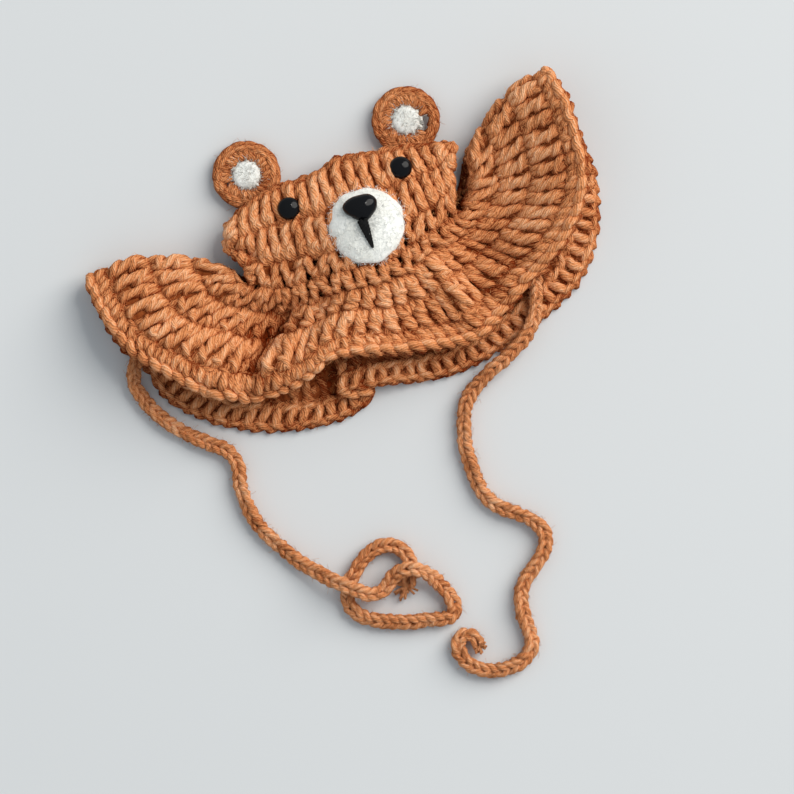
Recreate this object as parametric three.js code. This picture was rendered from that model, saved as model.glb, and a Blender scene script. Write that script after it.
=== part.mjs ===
// A crocheted bear hat with a wide ruffled brim, two ears, a felted muzzle and two ties.
// It lies on its back, face up, as it does when it is laid on a table. Millimetres, +Z up.
// +X runs from ear to ear and +Y from the open rim to the top of the crown.
// The origin is a point of the flat back of the crown, on the surface that the hat lies on.
import * as THREE from "three";

// Crocheted fabric
const wall = 3.4; // double crochet in a 2.8 mm yarn, pressed flat
const gap = 0.3; // clearance between neighbouring pieces
const restBand = 0.45; // yarn this near the table is pressed flat on it

// Crown: a bag with its mouth at the base ring
const ringHalfWidth = 55;
const ringDrop = 21.5; // how far the front of the base ring hangs below its ends
const pocketHeight = 25; // from the back layer to the front layer, wall middle to wall middle
const topHalfWidth = 50;
const topAlong = 32.5; // the closed top edge, measured from the origin along Y
const topLift = 12; // height of the closed top edge above the table
const crownRows = 6;
const sideRound = 2; // the crown keeps its width until near the top
const frontRound = 3;
const backRound = 5;

// Brim: a frilled ring of three rows and a border, folded into a front and a back layer
const brimHalfSpan = 118;
const brimDrop = 70.5; // from the origin to the lowest edge of the brim
const ruffleHeight = 24;
const brimRows = 6;
const borderSwell = 1.3; // the border is this much thicker than the fabric
const freeSlot = 0.1; // past this ear opening the brim's ring hangs free of the crown
const pleatRise = 0.6; // how fast a pleat's layers part on the way out from the ring
const columnsPerStation = 2;

// Ears
const earRadius = 14.8;
const earCentreRadius = 6.2;
const earThickness = 4.4;
const earInset = 13.2; // from the crown's end, along its top edge, to the middle of an ear
const earOut = { left: 12, right: 13.1 }; // the middle of an ear stands this far off that edge
const earSides = 20;

// Face
const muzzleRadius = 16.6;
const muzzleThickness = 4.6;
const muzzleRim = 2.6;
const muzzleSeat = 0.4; // clearance over the crown's stitches
const muzzleAt = { across: 4.9, along: 4.7 };
const eyeRadius = 5;
const eyeHeight = 3.6;
const eyeSpread = 25.8;
const eyeAlong = 23.3;
const eyesAcross = 1.5;
const noseWidth = 14.8;
const noseLength = 12;
const noseHeight = 5;
const noseAt = { across: 5, along: 13.2 };
const stitchWidth = 4.2;
const stitchTip = 1;
const stitchLength = 11;
const stitchThickness = 1.4;

// Ties
const tieDiameter = 6.7;
const tieSides = 8;

const Y = new THREE.Vector3(0, 1, 0);

function table(columns, rows) {
  const names = columns.split(" ");
  return rows.map((row) => Object.fromEntries(names.map((name, i) => [name, row[i]])));
}

// Stations round the hat: the front from the left fold to the right fold, then the back.
// ringAcross is a share of ringHalfWidth, ringAlong of ringDrop and ringLift of pocketHeight.
// edgeAcross is a share of brimHalfSpan, edgeAlong of brimDrop and edgeLift of ruffleHeight.
// layers counts the folded layers that the edge lies on. bowAlong and bowLift bend the brim
// half way out, as shares of brimDrop and ruffleHeight. roll is a share of ruffleHeight: it
// lowers the inner half of the brim and lifts its outer half. slot is the share of the
// crown's side that the ear opening takes.
const stations = table(
  "ringAcross ringAlong ringLift edgeAcross edgeAlong edgeLift layers bowAlong bowLift roll slot",
  [
    [-1.0, 0.17, 0.4, -1.0, 0.33, 0.3, 0, 0.12, 0, 0, 0.45],
    [-0.97, 0.0, 0.5, -1.0, 0.18, 0.56, 0, 0.05, 0, 0.04, 0.24],
    [-0.91, -0.19, 0.52, -0.95, -0.12, 0.74, 0, 0, 0, 0.08, 0],
    [-0.78, -0.44, 0.52, -0.865, -0.335, 0.82, 0, 0, -0.04, 0.12, 0],
    [-0.65, -0.6, 0.54, -0.725, -0.57, 0.78, 0, 0, -0.1, 0.18, 0],
    [-0.53, -0.7, 0.58, -0.59, -0.69, 0.66, 0, 0, -0.16, 0.24, 0],
    [-0.4, -0.79, 0.66, -0.46, -0.71, 0.54, 0, 0, -0.16, 0.28, 0],
    [-0.29, -0.86, 0.74, -0.36, -0.68, 0.56, 0, 0, -0.06, 0.26, 0],
    [-0.2, -0.9, 0.82, -0.275, -0.62, 0.72, 0, 0, 0.06, 0.14, 0],
    [-0.09, -0.945, 0.88, -0.18, -0.643, 0.86, 0, 0, 0, 0.04, 0],
    [0.05, -0.985, 0.9, -0.033, -0.73, 0.84, 0, 0, -0.16, 0, 0],
    [0.2, -0.99, 0.88, 0.11, -0.785, 0.76, 0, 0, -0.2, 0, 0],
    [0.36, -0.86, 0.82, 0.26, -0.823, 0.66, 0, 0, -0.18, 0, 0],
    [0.51, -0.7, 0.75, 0.375, -0.764, 0.6, 0, 0, -0.18, 0.04, 0],
    [0.64, -0.53, 0.68, 0.525, -0.618, 0.68, 0, 0, -0.2, 0.08, 0],
    [0.745, -0.35, 0.62, 0.69, -0.465, 0.82, 0, 0, -0.2, 0.1, 0],
    [0.835, -0.12, 0.58, 0.81, -0.285, 0.96, 0, 0, -0.2, 0.1, 0.12],
    [0.91, 0.16, 0.56, 0.875, -0.055, 1.08, 0, 0, -0.2, 0.1, 0.27],
    [0.955, 0.38, 0.56, 0.895, 0.18, 1.14, 0, 0, -0.18, 0.08, 0.38],
    [0.985, 0.55, 0.54, 0.89, 0.39, 1.14, 0, 0, -0.14, 0.06, 0.46],
    [1.0, 0.64, 0.48, 0.86, 0.57, 1.02, 0, 0, -0.08, 0.02, 0.6],
    [1.0, 0.66, 0.34, 0.85, 0.62, 0.7, 0, 0, 0, 0, 0.64],
    [0.965, 0.58, 0.15, 0.86, 0.555, 0.3, 0, 0, 0, 0, 0.62],
    [0.91, 0.42, 0.02, 0.89, 0.36, 0.08, 0, 0, 0, 0, 0.5],
    [0.82, 0.2, 0, 0.904, 0.125, 0, 0, 0, 0, 0, 0.32],
    [0.73, 0.0, 0, 0.9, -0.153, 0, 0, 0, 0, 0, 0.12],
    [0.62, -0.19, 0, 0.837, -0.458, 0, 0, 0, 0, 0, 0],
    [0.5, -0.33, 0, 0.733, -0.68, 0, 0, 0, 0, 0, 0],
    [0.38, -0.42, 0, 0.61, -0.8, 0, 0, 0, 0, 0, 0],
    [0.255, -0.49, 0, 0.467, -0.88, 0, 0, 0, 0, 0, 0],
    [0.13, -0.535, 0, 0.317, -0.944, 0, 0, 0, 0, 0, 0],
    [0.04, -0.56, 0, 0.183, -0.976, 0, 0, 0, 0, 0, 0],
    [-0.04, -0.56, 0, 0.04, -0.944, 0, 0.5, 0, 0, 0, 0],
    [-0.12, -0.55, 0, -0.083, -0.893, 0, 1.5, 0, 0, 0, 0],
    [-0.2, -0.54, 0, -0.183, -0.87, 0, 2, 0, 0, 0, 0],
    [-0.255, -0.53, 0, -0.268, -0.868, 0, 1.5, 0, 0, 0, 0],
    [-0.31, -0.515, 0, -0.21, -0.903, 0, 1, 0, 0, 0, 0],
    [-0.365, -0.5, 0, -0.154, -0.924, 0, 0.5, 0, 0, 0, 0],
    [-0.42, -0.48, 0, -0.225, -0.986, 0, 0, 0, 0, 0, 0],
    [-0.49, -0.44, 0, -0.35, -1.0, 0, 0, 0, 0, 0, 0],
    [-0.58, -0.37, 0, -0.5, -0.95, 0, 0, 0, 0, 0, 0],
    [-0.69, -0.28, 0, -0.667, -0.83, 0, 0, 0, 0, 0, 0],
    [-0.8, -0.14, 0, -0.81, -0.653, 0, 0, 0, 0, 0, 0.12],
    [-0.9, 0.02, 0, -0.883, -0.48, 0, 0, 0, 0, 0, 0.3],
    [-0.96, 0.14, 0.02, -0.905, -0.32, 0, 0, 0, 0, 0, 0.37],
    [-0.99, 0.2, 0.1, -0.967, -0.125, 0, 0, 0, 0, 0, 0.46],
    [-1.0, 0.2, 0.25, -1.0, 0.14, 0.03, 0, 0.06, 0, 0, 0.46],
  ]
);
const rightFold = 21; // the station where the front turns into the back

// The closed top edge of the crown, as shares of topHalfWidth and topAlong
const topEdge = table("across along", [
  [-1.0, 0.8],
  [-0.78, 0.96],
  [-0.5, 1.03],
  [-0.22, 1.0],
  [0.05, 1.09],
  [0.4, 1.01],
  [0.8, 0.88],
  [1.0, 0.78],
]);

// Ties, hand placed along their middle: from the base ring, out between the layers of the
// brim, down on the table and to the free end
const leftTieRoute = [
  [-49, -5, 7.6], [-62, -9.5, 7.5], [-77, -13, 7.4], [-92, -14.8, 7.4], [-103, -14.8, 7.6],
  [-109.5, -16.2, 7.6], [-112.9, -20.8, 6.6], [-113.8, -28, 3.9], [-111, -37.4, 3.5],
  [-105.2, -47.4, 3.5], [-98.7, -54.8, 3.5], [-91, -61.8, 3.5], [-85.5, -67, 3.5],
  [-83.5, -74.2, 3.5], [-85.5, -82.3, 3.5], [-85.6, -91.5, 3.5], [-84.1, -101.3, 3.5],
  [-79.7, -110.8, 3.5], [-72.4, -122.7, 3.9], [-64, -132.5, 7.6], [-56.1, -140.2, 10.5],
  [-50.5, -145.2, 9.4], [-46, -147.2, 7.8], [-41.5, -146.3, 7], [-36.4, -142.8, 7.8],
  [-31.7, -141.4, 9.8], [-27.2, -142.4, 10.5], [-23, -145.8, 8.2], [-19.7, -150.7, 4.4],
  [-17.2, -156.7, 3.6], [-15.8, -162.4, 3.5], [-17, -166.8, 3.5], [-21, -167.7, 3.5],
  [-27.1, -166, 3.5], [-35.6, -163.9, 3.5], [-43.8, -160.9, 3.5], [-51.6, -157.1, 3.5],
  [-56.4, -152.7, 3.5], [-58.6, -147, 3.5], [-57, -141.5, 3.5], [-53.6, -137.2, 3.5],
  [-50.1, -134.2, 3.5], [-45.6, -131, 3.5], [-40.1, -128.9, 3.5], [-35, -128.9, 3.5],
  [-30.4, -131.3, 3.5], [-27.8, -135.6, 3.5], [-27.7, -140.8, 3.5], [-30, -145.6, 3.5],
  [-33, -149.1, 3.5],
];
const rightTieRoute = [
  [46, -8.5, 7.8], [51, -16, 7.3], [57.5, -25, 7.2], [63.5, -33, 7.2], [65.8, -39.5, 7.2],
  [64, -47.5, 7.2], [60.2, -56, 7.2], [53, -64, 7.2], [45, -68.3, 7.2], [36.5, -71.8, 6.9],
  [29.5, -75.2, 5], [23, -79, 3.7], [18.4, -84, 3.5], [14.8, -92.9, 3.5], [12.5, -101.8, 3.5],
  [12.3, -110.6, 3.5], [12.5, -118.4, 3.5], [14, -124.9, 3.5], [18.7, -130.8, 3.5],
  [26, -137.2, 3.5], [31, -143.4, 3.5], [31.8, -149.6, 3.5], [28.1, -155.6, 3.5],
  [21.6, -160.4, 3.5], [16, -164.6, 3.5], [12.5, -170.3, 3.5], [10.9, -179.3, 3.5],
  [10.9, -186.3, 3.5], [9.6, -192.3, 3.5], [4.4, -196.3, 3.5], [-3.7, -197.2, 3.5],
  [-12.6, -194.9, 3.5], [-19, -188.8, 3.5], [-20.6, -182.3, 3.5], [-17.2, -177.4, 3.5],
  [-12.4, -178.8, 3.5], [-11.4, -184.6, 3.5],
];
const leftTieSteps = 70;
const rightTieSteps = 48;

function material(color, roughness) {
  return new THREE.MeshStandardMaterial({ color, roughness, metalness: 0 });
}

const yarn = material(0xb87850, 0.95);
const cream = material(0xe6e4da, 0.95);
const blackPlastic = material(0x0a0a0b, 0.15);

// A triangle list that keeps its own points
class Skin {
  constructor() {
    this.points = [];
    this.faces = [];
  }

  add(point) {
    this.points.push(point.clone());
    return this.points.length - 1;
  }

  grid(rows) {
    return rows.map((row) => row.map((point) => this.add(point)));
  }

  quad(a, b, c, d) {
    this.faces.push([a, b, c], [a, c, d]);
  }

  // Strip between two closed or open rows of the same length
  strip(low, high, closed) {
    const count = closed ? low.length : low.length - 1;
    for (let i = 0; i < count; i += 1) {
      const next = (i + 1) % low.length;
      this.quad(low[i], low[next], high[next], high[i]);
    }
  }

  // Strip between two rows that start and end on shared points and differ in length
  zip(near, far) {
    let i = 0;
    let j = 0;
    while (i < near.length - 1 || j < far.length - 1) {
      const nearNext = this.points[near[Math.min(i + 1, near.length - 1)]].x;
      const farNext = this.points[far[Math.min(j + 1, far.length - 1)]].x;
      const moveNear = j === far.length - 1 || (i < near.length - 1 && nearNext <= farNext);
      const third = moveNear ? near[i + 1] : far[j + 1];
      if (near[i] !== far[j] && third !== near[i] && third !== far[j]) {
        this.faces.push([near[i], third, far[j]]);
      }
      if (moveNear) i += 1;
      else j += 1;
    }
  }

  volume() {
    const product = new THREE.Vector3();
    return this.faces.reduce((sum, [a, b, c]) => {
      product.crossVectors(this.points[b], this.points[c]);
      return sum + this.points[a].dot(product) / 6;
    }, 0);
  }

  mesh(name, finish) {
    const turned = this.volume() < 0;
    const positions = [];
    for (const [a, b, c] of this.faces) {
      const corners = turned ? [a, c, b] : [a, b, c];
      for (const corner of corners) positions.push(...this.points[corner].toArray());
    }
    const geometry = new THREE.BufferGeometry();
    geometry.setAttribute("position", new THREE.Float32BufferAttribute(positions, 3));
    geometry.computeVertexNormals();
    const mesh = new THREE.Mesh(geometry, finish);
    mesh.name = name;
    return mesh;
  }
}

function smoothLoop(points) {
  return new THREE.CatmullRomCurve3(points, true, "centripetal");
}

// One value of every station, smoothed round the hat
function stationCurve(pick) {
  const curve = smoothLoop(stations.map(pick));
  return (column) => curve.getPoint(column / columns);
}

const columns = stations.length * columnsPerStation;
const rightColumn = rightFold * columnsPerStation;
const layerStep = wall + gap;

const ringAt = stationCurve(
  (s) =>
    new THREE.Vector3(
      s.ringAcross * ringHalfWidth,
      s.ringAlong * ringDrop,
      wall / 2 + s.ringLift * pocketHeight
    )
);
const edgeAt = stationCurve(
  (s) =>
    new THREE.Vector3(
      s.edgeAcross * brimHalfSpan,
      s.edgeAlong * brimDrop,
      wall / 2 + s.edgeLift * ruffleHeight
    )
);
const bowAt = stationCurve(
  (s) => new THREE.Vector3(s.slot, s.bowAlong * brimDrop, s.bowLift * ruffleHeight)
);
const foldAt = stationCurve((s) => new THREE.Vector3(s.layers, s.ringAcross, s.roll));

// Outward direction of the base ring, square to the ring and to the hat's length
function ringNormal(column) {
  const ahead = ringAt((column + 0.25) % columns);
  const behind = ringAt((column - 0.25 + columns) % columns);
  return ahead.sub(behind).cross(Y).normalize();
}

function pressed(point) {
  if (point.z < restBand) point.z = 0;
  return point;
}

// Middle of the brim's fabric: out is 0 at the ring and 1 at the border
function brimPoint(column, out) {
  const point = ringAt(column).lerp(edgeAt(column), out);
  const bow = bowAt(column);
  const fold = foldAt(column);
  const bend = 4 * out * (1 - out);
  const rolled = -Math.sin(2 * Math.PI * out) * fold.z * ruffleHeight;
  point.y += bow.y * bend;
  point.z += bow.z * bend + rolled + fold.x * layerStep * out ** pleatRise;
  return point;
}

function slotAt(column) {
  return Math.max(0, bowAt(column).x);
}

// Where the brim joins the crown it starts in the crown's own direction
function brimNormal(column, out) {
  const near = brimPoint((column - 0.25 + columns) % columns, out);
  const far = brimPoint((column + 0.25) % columns, out);
  const inner = brimPoint(column, Math.max(0, out - 0.02));
  const outer = brimPoint(column, Math.min(1, out + 0.02));
  const own = outer.sub(inner).cross(far.sub(near)).normalize();
  if (out > 0) return own;
  return ringNormal(column).lerp(own, Math.min(1, slotAt(column) / freeSlot)).normalize();
}

function makeBrim() {
  const skin = new Skin();
  const face = [];
  const back = [];
  for (let row = 0; row <= brimRows; row += 1) {
    const out = row / brimRows;
    const half = (wall / 2) * (row === brimRows ? borderSwell : 1);
    const faceRow = [];
    const backRow = [];
    for (let column = 0; column < columns; column += 1) {
      const middle = brimPoint(column, out);
      const normal = brimNormal(column, out);
      faceRow.push(pressed(middle.clone().addScaledVector(normal, half)));
      backRow.push(pressed(middle.clone().addScaledVector(normal, -half)));
    }
    face.push(faceRow);
    back.push(backRow);
  }
  const rim = face[brimRows].map((point, column) => {
    const outward = edgeAt(column).sub(ringAt(column)).setZ(0).normalize();
    const middle = point.clone().lerp(back[brimRows][column], 0.5);
    return middle.addScaledVector(outward, (wall / 2) * borderSwell);
  });
  const faceRows = skin.grid(face);
  const backRows = skin.grid(back);
  const [rimRow] = skin.grid([rim]);
  for (let row = 0; row < brimRows; row += 1) {
    skin.strip(faceRows[row], faceRows[row + 1], true);
    skin.strip(backRows[row + 1], backRows[row], true);
  }
  skin.strip(faceRows[brimRows], rimRow, true);
  skin.strip(rimRow, backRows[brimRows], true);
  skin.strip(backRows[0], faceRows[0], true);
  return skin.mesh("brim", yarn);
}

const topCurve = new THREE.CatmullRomCurve3(
  topEdge.map((row) => new THREE.Vector3(row.across * topHalfWidth, row.along * topAlong, 0)),
  false,
  "centripetal"
);
const topSamples = topCurve.getPoints(80);

function topAlongAt(across) {
  const after = topSamples.findIndex((point) => point.x >= across);
  if (after === 0) return topSamples[0].y;
  if (after === -1) return topSamples[topSamples.length - 1].y;
  const a = topSamples[after - 1];
  const b = topSamples[after];
  return a.y + ((b.y - a.y) * (across - a.x)) / (b.x - a.x);
}

// 1 on the front of the crown, -1 on its back and 0 where they meet at the sides
function sideOf(column) {
  if (column === 0 || column === rightColumn) return 0;
  return column < rightColumn ? 1 : -1;
}

function topPoint(column) {
  const across = THREE.MathUtils.clamp(ringAt(column).x / ringHalfWidth, -1, 1) * topHalfWidth;
  return new THREE.Vector3(
    across,
    topAlongAt(across),
    topLift + (sideOf(column) * layerStep) / 2
  );
}

// Middle of the crown's fabric: up is 0 at the base ring and 1 at the closed top
function crownPoint(column, up) {
  const base = ringAt(column);
  const top = topPoint(column);
  const round = sideOf(column) < 0 ? backRound : frontRound;
  return new THREE.Vector3(
    THREE.MathUtils.lerp(base.x, top.x, up ** sideRound),
    THREE.MathUtils.lerp(base.y + 2 * gap, top.y, up),
    THREE.MathUtils.lerp(base.z, top.z, up ** round)
  );
}

function crownNormal(column, up) {
  if (up === 0) return ringNormal(column);
  const near = crownPoint((column - 1 + columns) % columns, up);
  const far = crownPoint((column + 1) % columns, up);
  const low = crownPoint(column, up - 0.02);
  const high = crownPoint(column, Math.min(1, up + 0.02));
  return far.sub(near).cross(high.sub(low)).normalize();
}

function makeCrown() {
  const skin = new Skin();
  const outside = [];
  const inside = [];
  for (let row = 0; row <= crownRows; row += 1) {
    const outsideRow = [];
    const insideRow = [];
    for (let column = 0; column < columns; column += 1) {
      const slot = slotAt(column);
      const up = slot + ((1 - slot) * row) / crownRows;
      const middle = crownPoint(column, up);
      const normal = crownNormal(column, up);
      outsideRow.push(pressed(middle.clone().addScaledVector(normal, wall / 2)));
      insideRow.push(middle.clone().addScaledVector(normal, -wall / 2));
    }
    outside.push(outsideRow);
    inside.push(insideRow);
  }
  const crest = outside[crownRows].map((point, column) => {
    const top = topPoint(column);
    return point.clone().lerp(top, 0.45).addScaledVector(Y, wall * 0.7);
  });
  const outsideRows = skin.grid([...outside, crest]);
  const insideRows = skin.grid(inside);
  for (let row = 0; row <= crownRows; row += 1) {
    skin.strip(outsideRows[row], outsideRows[row + 1], true);
  }
  for (let row = 0; row < crownRows; row += 1) {
    skin.strip(insideRows[row + 1], insideRows[row], true);
  }
  skin.strip(insideRows[0], outsideRows[0], true);
  const front = (row) => row.slice(0, rightColumn + 1);
  const backward = (row) => [row[0], ...row.slice(rightColumn).reverse()];
  skin.zip(front(outsideRows[crownRows + 1]), backward(outsideRows[crownRows + 1]));
  skin.zip(backward(insideRows[crownRows]), front(insideRows[crownRows]));
  return skin.mesh("crown", yarn);
}

// Height of the upper skin of a mesh above a place on the table
const caster = new THREE.Raycaster();
const farOff = 1000; // rays start well outside the hat
function heightOn(mesh, across, along) {
  caster.set(new THREE.Vector3(across, along, farOff), new THREE.Vector3(0, 0, -1));
  return caster.intersectObject(mesh)[0].point.z;
}

// Height of the underside of a mesh above a place on the table
function heightUnder(mesh, across, along) {
  caster.set(new THREE.Vector3(across, along, -farOff), new THREE.Vector3(0, 0, 1));
  const [hit] = caster.intersectObject(mesh);
  return hit ? hit.point.z : Infinity;
}

// A patch that lies on another piece: bottom gives its underside, profile its thickness
function makePatch(name, finish, at, outline, rings, sides, bottom, profile) {
  const skin = new Skin();
  const upper = [];
  const lower = [];
  for (let ring = 1; ring <= rings; ring += 1) {
    const share = ring / rings;
    const upperRow = [];
    const lowerRow = [];
    for (let side = 0; side < sides; side += 1) {
      const reach = outline((side / sides) * 2 * Math.PI);
      const across = at.across + reach.x * share;
      const along = at.along + reach.y * share;
      const rest = bottom(across, along);
      lowerRow.push(new THREE.Vector3(across, along, rest));
      upperRow.push(new THREE.Vector3(across, along, rest + profile(share)));
    }
    upper.push(upperRow);
    lower.push(lowerRow);
  }
  const rest = bottom(at.across, at.along);
  const topMiddle = skin.add(new THREE.Vector3(at.across, at.along, rest + profile(0)));
  const lowMiddle = skin.add(new THREE.Vector3(at.across, at.along, rest));
  const upperRows = skin.grid(upper);
  const lowerRows = skin.grid(lower);
  for (let side = 0; side < sides; side += 1) {
    const next = (side + 1) % sides;
    skin.faces.push([topMiddle, upperRows[0][side], upperRows[0][next]]);
    skin.faces.push([lowMiddle, lowerRows[0][next], lowerRows[0][side]]);
  }
  for (let ring = 0; ring < rings - 1; ring += 1) {
    skin.strip(upperRows[ring + 1], upperRows[ring], true);
    skin.strip(lowerRows[ring], lowerRows[ring + 1], true);
  }
  skin.strip(lowerRows[rings - 1], upperRows[rings - 1], true);
  return skin.mesh(name, finish);
}

// The plane that touches a piece at a place and clears it all over an outline
function seatPlane(mesh, at, outline) {
  const step = 1;
  const here = heightOn(mesh, at.across, at.along);
  const rise = (dx, dy) => heightOn(mesh, at.across + dx, at.along + dy);
  const slopeX = (rise(step, 0) - rise(-step, 0)) / (2 * step);
  const slopeY = (rise(0, step) - rise(0, -step)) / (2 * step);
  const plane = (across, along) =>
    here + slopeX * (across - at.across) + slopeY * (along - at.along);
  let clear = 0;
  for (let side = 0; side < 24; side += 1) {
    const reach = outline((side / 24) * 2 * Math.PI);
    for (const share of [0.5, 1]) {
      const across = at.across + reach.x * share;
      const along = at.along + reach.y * share;
      clear = Math.max(clear, heightOn(mesh, across, along) - plane(across, along));
    }
  }
  return (across, along) => plane(across, along) + clear + gap;
}

function round(radius) {
  return (angle) => new THREE.Vector2(Math.cos(angle) * radius, Math.sin(angle) * radius);
}

// A rounded triangle with its point towards the rim of the hat
function noseOutline(angle) {
  const point = 1 + 0.16 * Math.cos(3 * (angle + Math.PI / 2));
  return new THREE.Vector2(
    Math.cos(angle) * point * noseWidth * 0.52,
    Math.sin(angle) * point * noseLength * 0.5
  );
}

function makeStitch(muzzle, start) {
  const skin = new Skin();
  const steps = 7;
  const rows = [];
  for (let step = 0; step <= steps; step += 1) {
    const share = step / steps;
    const half = THREE.MathUtils.lerp(stitchWidth, stitchTip, share ** 0.8) / 2;
    const along = start.along - share * stitchLength;
    const middle = start.across + 0.7 * share;
    const corners = [-half, half].map((side) => {
      const rest = heightOn(muzzle, middle + side, along) + gap;
      return new THREE.Vector3(middle + side, along, rest);
    });
    const crest = heightOn(muzzle, middle, along) + gap;
    rows.push([
      corners[0],
      new THREE.Vector3(middle, along, crest),
      corners[1],
      corners[1].clone().setZ(corners[1].z + stitchThickness * 0.6),
      new THREE.Vector3(middle, along, crest + stitchThickness),
      corners[0].clone().setZ(corners[0].z + stitchThickness * 0.6),
    ]);
  }
  const grid = skin.grid(rows);
  for (let step = 0; step < steps; step += 1) skin.strip(grid[step], grid[step + 1], true);
  for (let i = 1; i < grid[0].length - 1; i += 1) {
    skin.faces.push([grid[0][0], grid[0][i + 1], grid[0][i]]);
    skin.faces.push([grid[steps][0], grid[steps][i], grid[steps][i + 1]]);
  }
  return skin.mesh("mouth_stitch", blackPlastic);
}

// Rounded section of a flat crocheted round, closed on itself or on the axis
function makeRound(name, finish, inner, outer, thickness) {
  const half = thickness / 2;
  const lip = half * 0.6;
  const outerSide = [
    [outer - lip, -half],
    [outer, -half * 0.4],
    [outer, half * 0.4],
    [outer - lip, half],
  ];
  const innerSide =
    inner > 0
      ? [
          [inner + lip, half],
          [inner, half * 0.4],
          [inner, -half * 0.4],
          [inner + lip, -half],
          [outer - lip, -half],
        ]
      : [[0, half]];
  const start = inner > 0 ? [] : [[0, -half]];
  const profile = [...start, ...outerSide, ...innerSide].map(([r, z]) => new THREE.Vector2(r, z));
  const geometry = new THREE.LatheGeometry(profile, earSides);
  const mesh = new THREE.Mesh(geometry, finish);
  mesh.name = name;
  mesh.rotation.x = Math.PI / 2;
  return mesh;
}

// Height at which a flat ear touches the underside of the crown's top edge
function earHeight(across, along) {
  const half = earThickness / 2;
  let height = Infinity;
  for (let side = 0; side < earSides * 2; side += 1) {
    const angle = (side / earSides) * Math.PI;
    for (const [reach, top] of [[earRadius, half * 0.4], [earRadius - half * 0.6, half]]) {
      const x = across + Math.cos(angle) * reach;
      const y = along + Math.sin(angle) * reach;
      height = Math.min(height, heightUnder(crown, x, y) - gap - top);
    }
  }
  return height;
}

function makeEar(side, sign) {
  const across = sign * (topHalfWidth - earInset);
  const along = topAlongAt(across) + earOut[side];
  const ear = new THREE.Group();
  ear.add(makeRound(`ear_${side}_rim`, yarn, earCentreRadius + gap, earRadius, earThickness));
  ear.add(makeRound(`ear_${side}_centre`, cream, 0, earCentreRadius, earThickness * 0.8));
  ear.position.set(across, along, earHeight(across, along));
  return ear;
}

function makeTie(name, route, steps) {
  const path = new THREE.CatmullRomCurve3(
    route.map(([x, y, z]) => new THREE.Vector3(x, y, z)),
    false,
    "centripetal"
  );
  const section = new THREE.Shape();
  for (let side = 0; side < tieSides; side += 1) {
    const angle = (2 * Math.PI * (side + 0.5)) / tieSides;
    const x = (Math.cos(angle) * tieDiameter) / 2;
    const y = (Math.sin(angle) * tieDiameter) / 2;
    if (side === 0) section.moveTo(x, y);
    else section.lineTo(x, y);
  }
  section.closePath();
  const geometry = new THREE.ExtrudeGeometry(section, { steps, extrudePath: path });
  const mesh = new THREE.Mesh(geometry, yarn);
  mesh.name = name;
  return mesh;
}

const hat = new THREE.Group();
const crown = makeCrown();
hat.add(crown, makeBrim());
crown.updateMatrixWorld(true);

const muzzle = makePatch(
  "muzzle",
  cream,
  muzzleAt,
  round(muzzleRadius),
  5,
  24,
  (across, along) => heightOn(crown, across, along) + muzzleSeat,
  (share) => muzzleRim + (muzzleThickness - muzzleRim) * (1 - share ** 4)
);
hat.add(muzzle);
muzzle.updateMatrixWorld(true);

const nose = makePatch(
  "nose",
  blackPlastic,
  noseAt,
  noseOutline,
  4,
  18,
  seatPlane(muzzle, noseAt, noseOutline),
  (share) => noseHeight * Math.sqrt(1 - 0.9 * share ** 2)
);
hat.add(nose);

for (const [side, sign] of [["left", -1], ["right", 1]]) {
  const at = { across: eyesAcross + sign * eyeSpread, along: eyeAlong };
  hat.add(
    makePatch(
      `eye_${side}`,
      blackPlastic,
      at,
      round(eyeRadius),
      4,
      16,
      seatPlane(crown, at, round(eyeRadius)),
      (share) => eyeHeight * Math.sqrt(1 - 0.9 * share ** 2)
    )
  );
  hat.add(makeEar(side, sign));
}

const stitchStart = { across: noseAt.across - 0.8, along: noseAt.along - noseLength * 0.58 - gap };
hat.add(makeStitch(muzzle, stitchStart));
hat.add(makeTie("tie_left", leftTieRoute, leftTieSteps));
hat.add(makeTie("tie_right", rightTieRoute, rightTieSteps));

export default hat;
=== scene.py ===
# %% [markdown]
# # A crocheted bear hat, worked stitch by stitch
# The hat lies on its back on a pale table: a flattened crown, a wide frilled brim, two round
# ears, a felted muzzle with a moulded nose, two domed eyes and two crocheted ties.
# Crochet is a chain of loops, so each kind of stitch is drawn once, as a few short strands of
# yarn. Python then works it along every row, as a hook would, and sweeps the strands to tubes.

# %% Load the frame and keep its box
import math

import bpy
import numpy as np
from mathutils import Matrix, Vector


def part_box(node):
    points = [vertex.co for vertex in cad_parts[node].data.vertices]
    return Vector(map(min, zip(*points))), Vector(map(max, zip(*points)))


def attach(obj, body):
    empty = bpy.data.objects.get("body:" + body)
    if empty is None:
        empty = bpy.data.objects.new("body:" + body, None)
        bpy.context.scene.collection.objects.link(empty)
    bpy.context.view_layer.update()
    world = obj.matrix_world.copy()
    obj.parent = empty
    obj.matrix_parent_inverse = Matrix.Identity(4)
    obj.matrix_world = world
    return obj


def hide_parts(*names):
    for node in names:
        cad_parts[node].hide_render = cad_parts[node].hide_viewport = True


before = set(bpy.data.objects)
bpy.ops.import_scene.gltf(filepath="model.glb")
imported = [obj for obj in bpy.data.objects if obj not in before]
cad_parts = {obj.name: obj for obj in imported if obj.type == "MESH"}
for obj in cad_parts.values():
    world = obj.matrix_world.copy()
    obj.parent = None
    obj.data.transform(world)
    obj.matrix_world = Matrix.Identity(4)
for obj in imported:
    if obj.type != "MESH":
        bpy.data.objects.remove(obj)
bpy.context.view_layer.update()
mm = 0.001
print("frame holds", len(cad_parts), "pieces")

# %% [markdown]
# ## The camera
# The photograph looks straight down, with the hat turned 20 degrees on the table. A long lens
# from far above keeps the low table and the raised face at almost the same scale.

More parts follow.
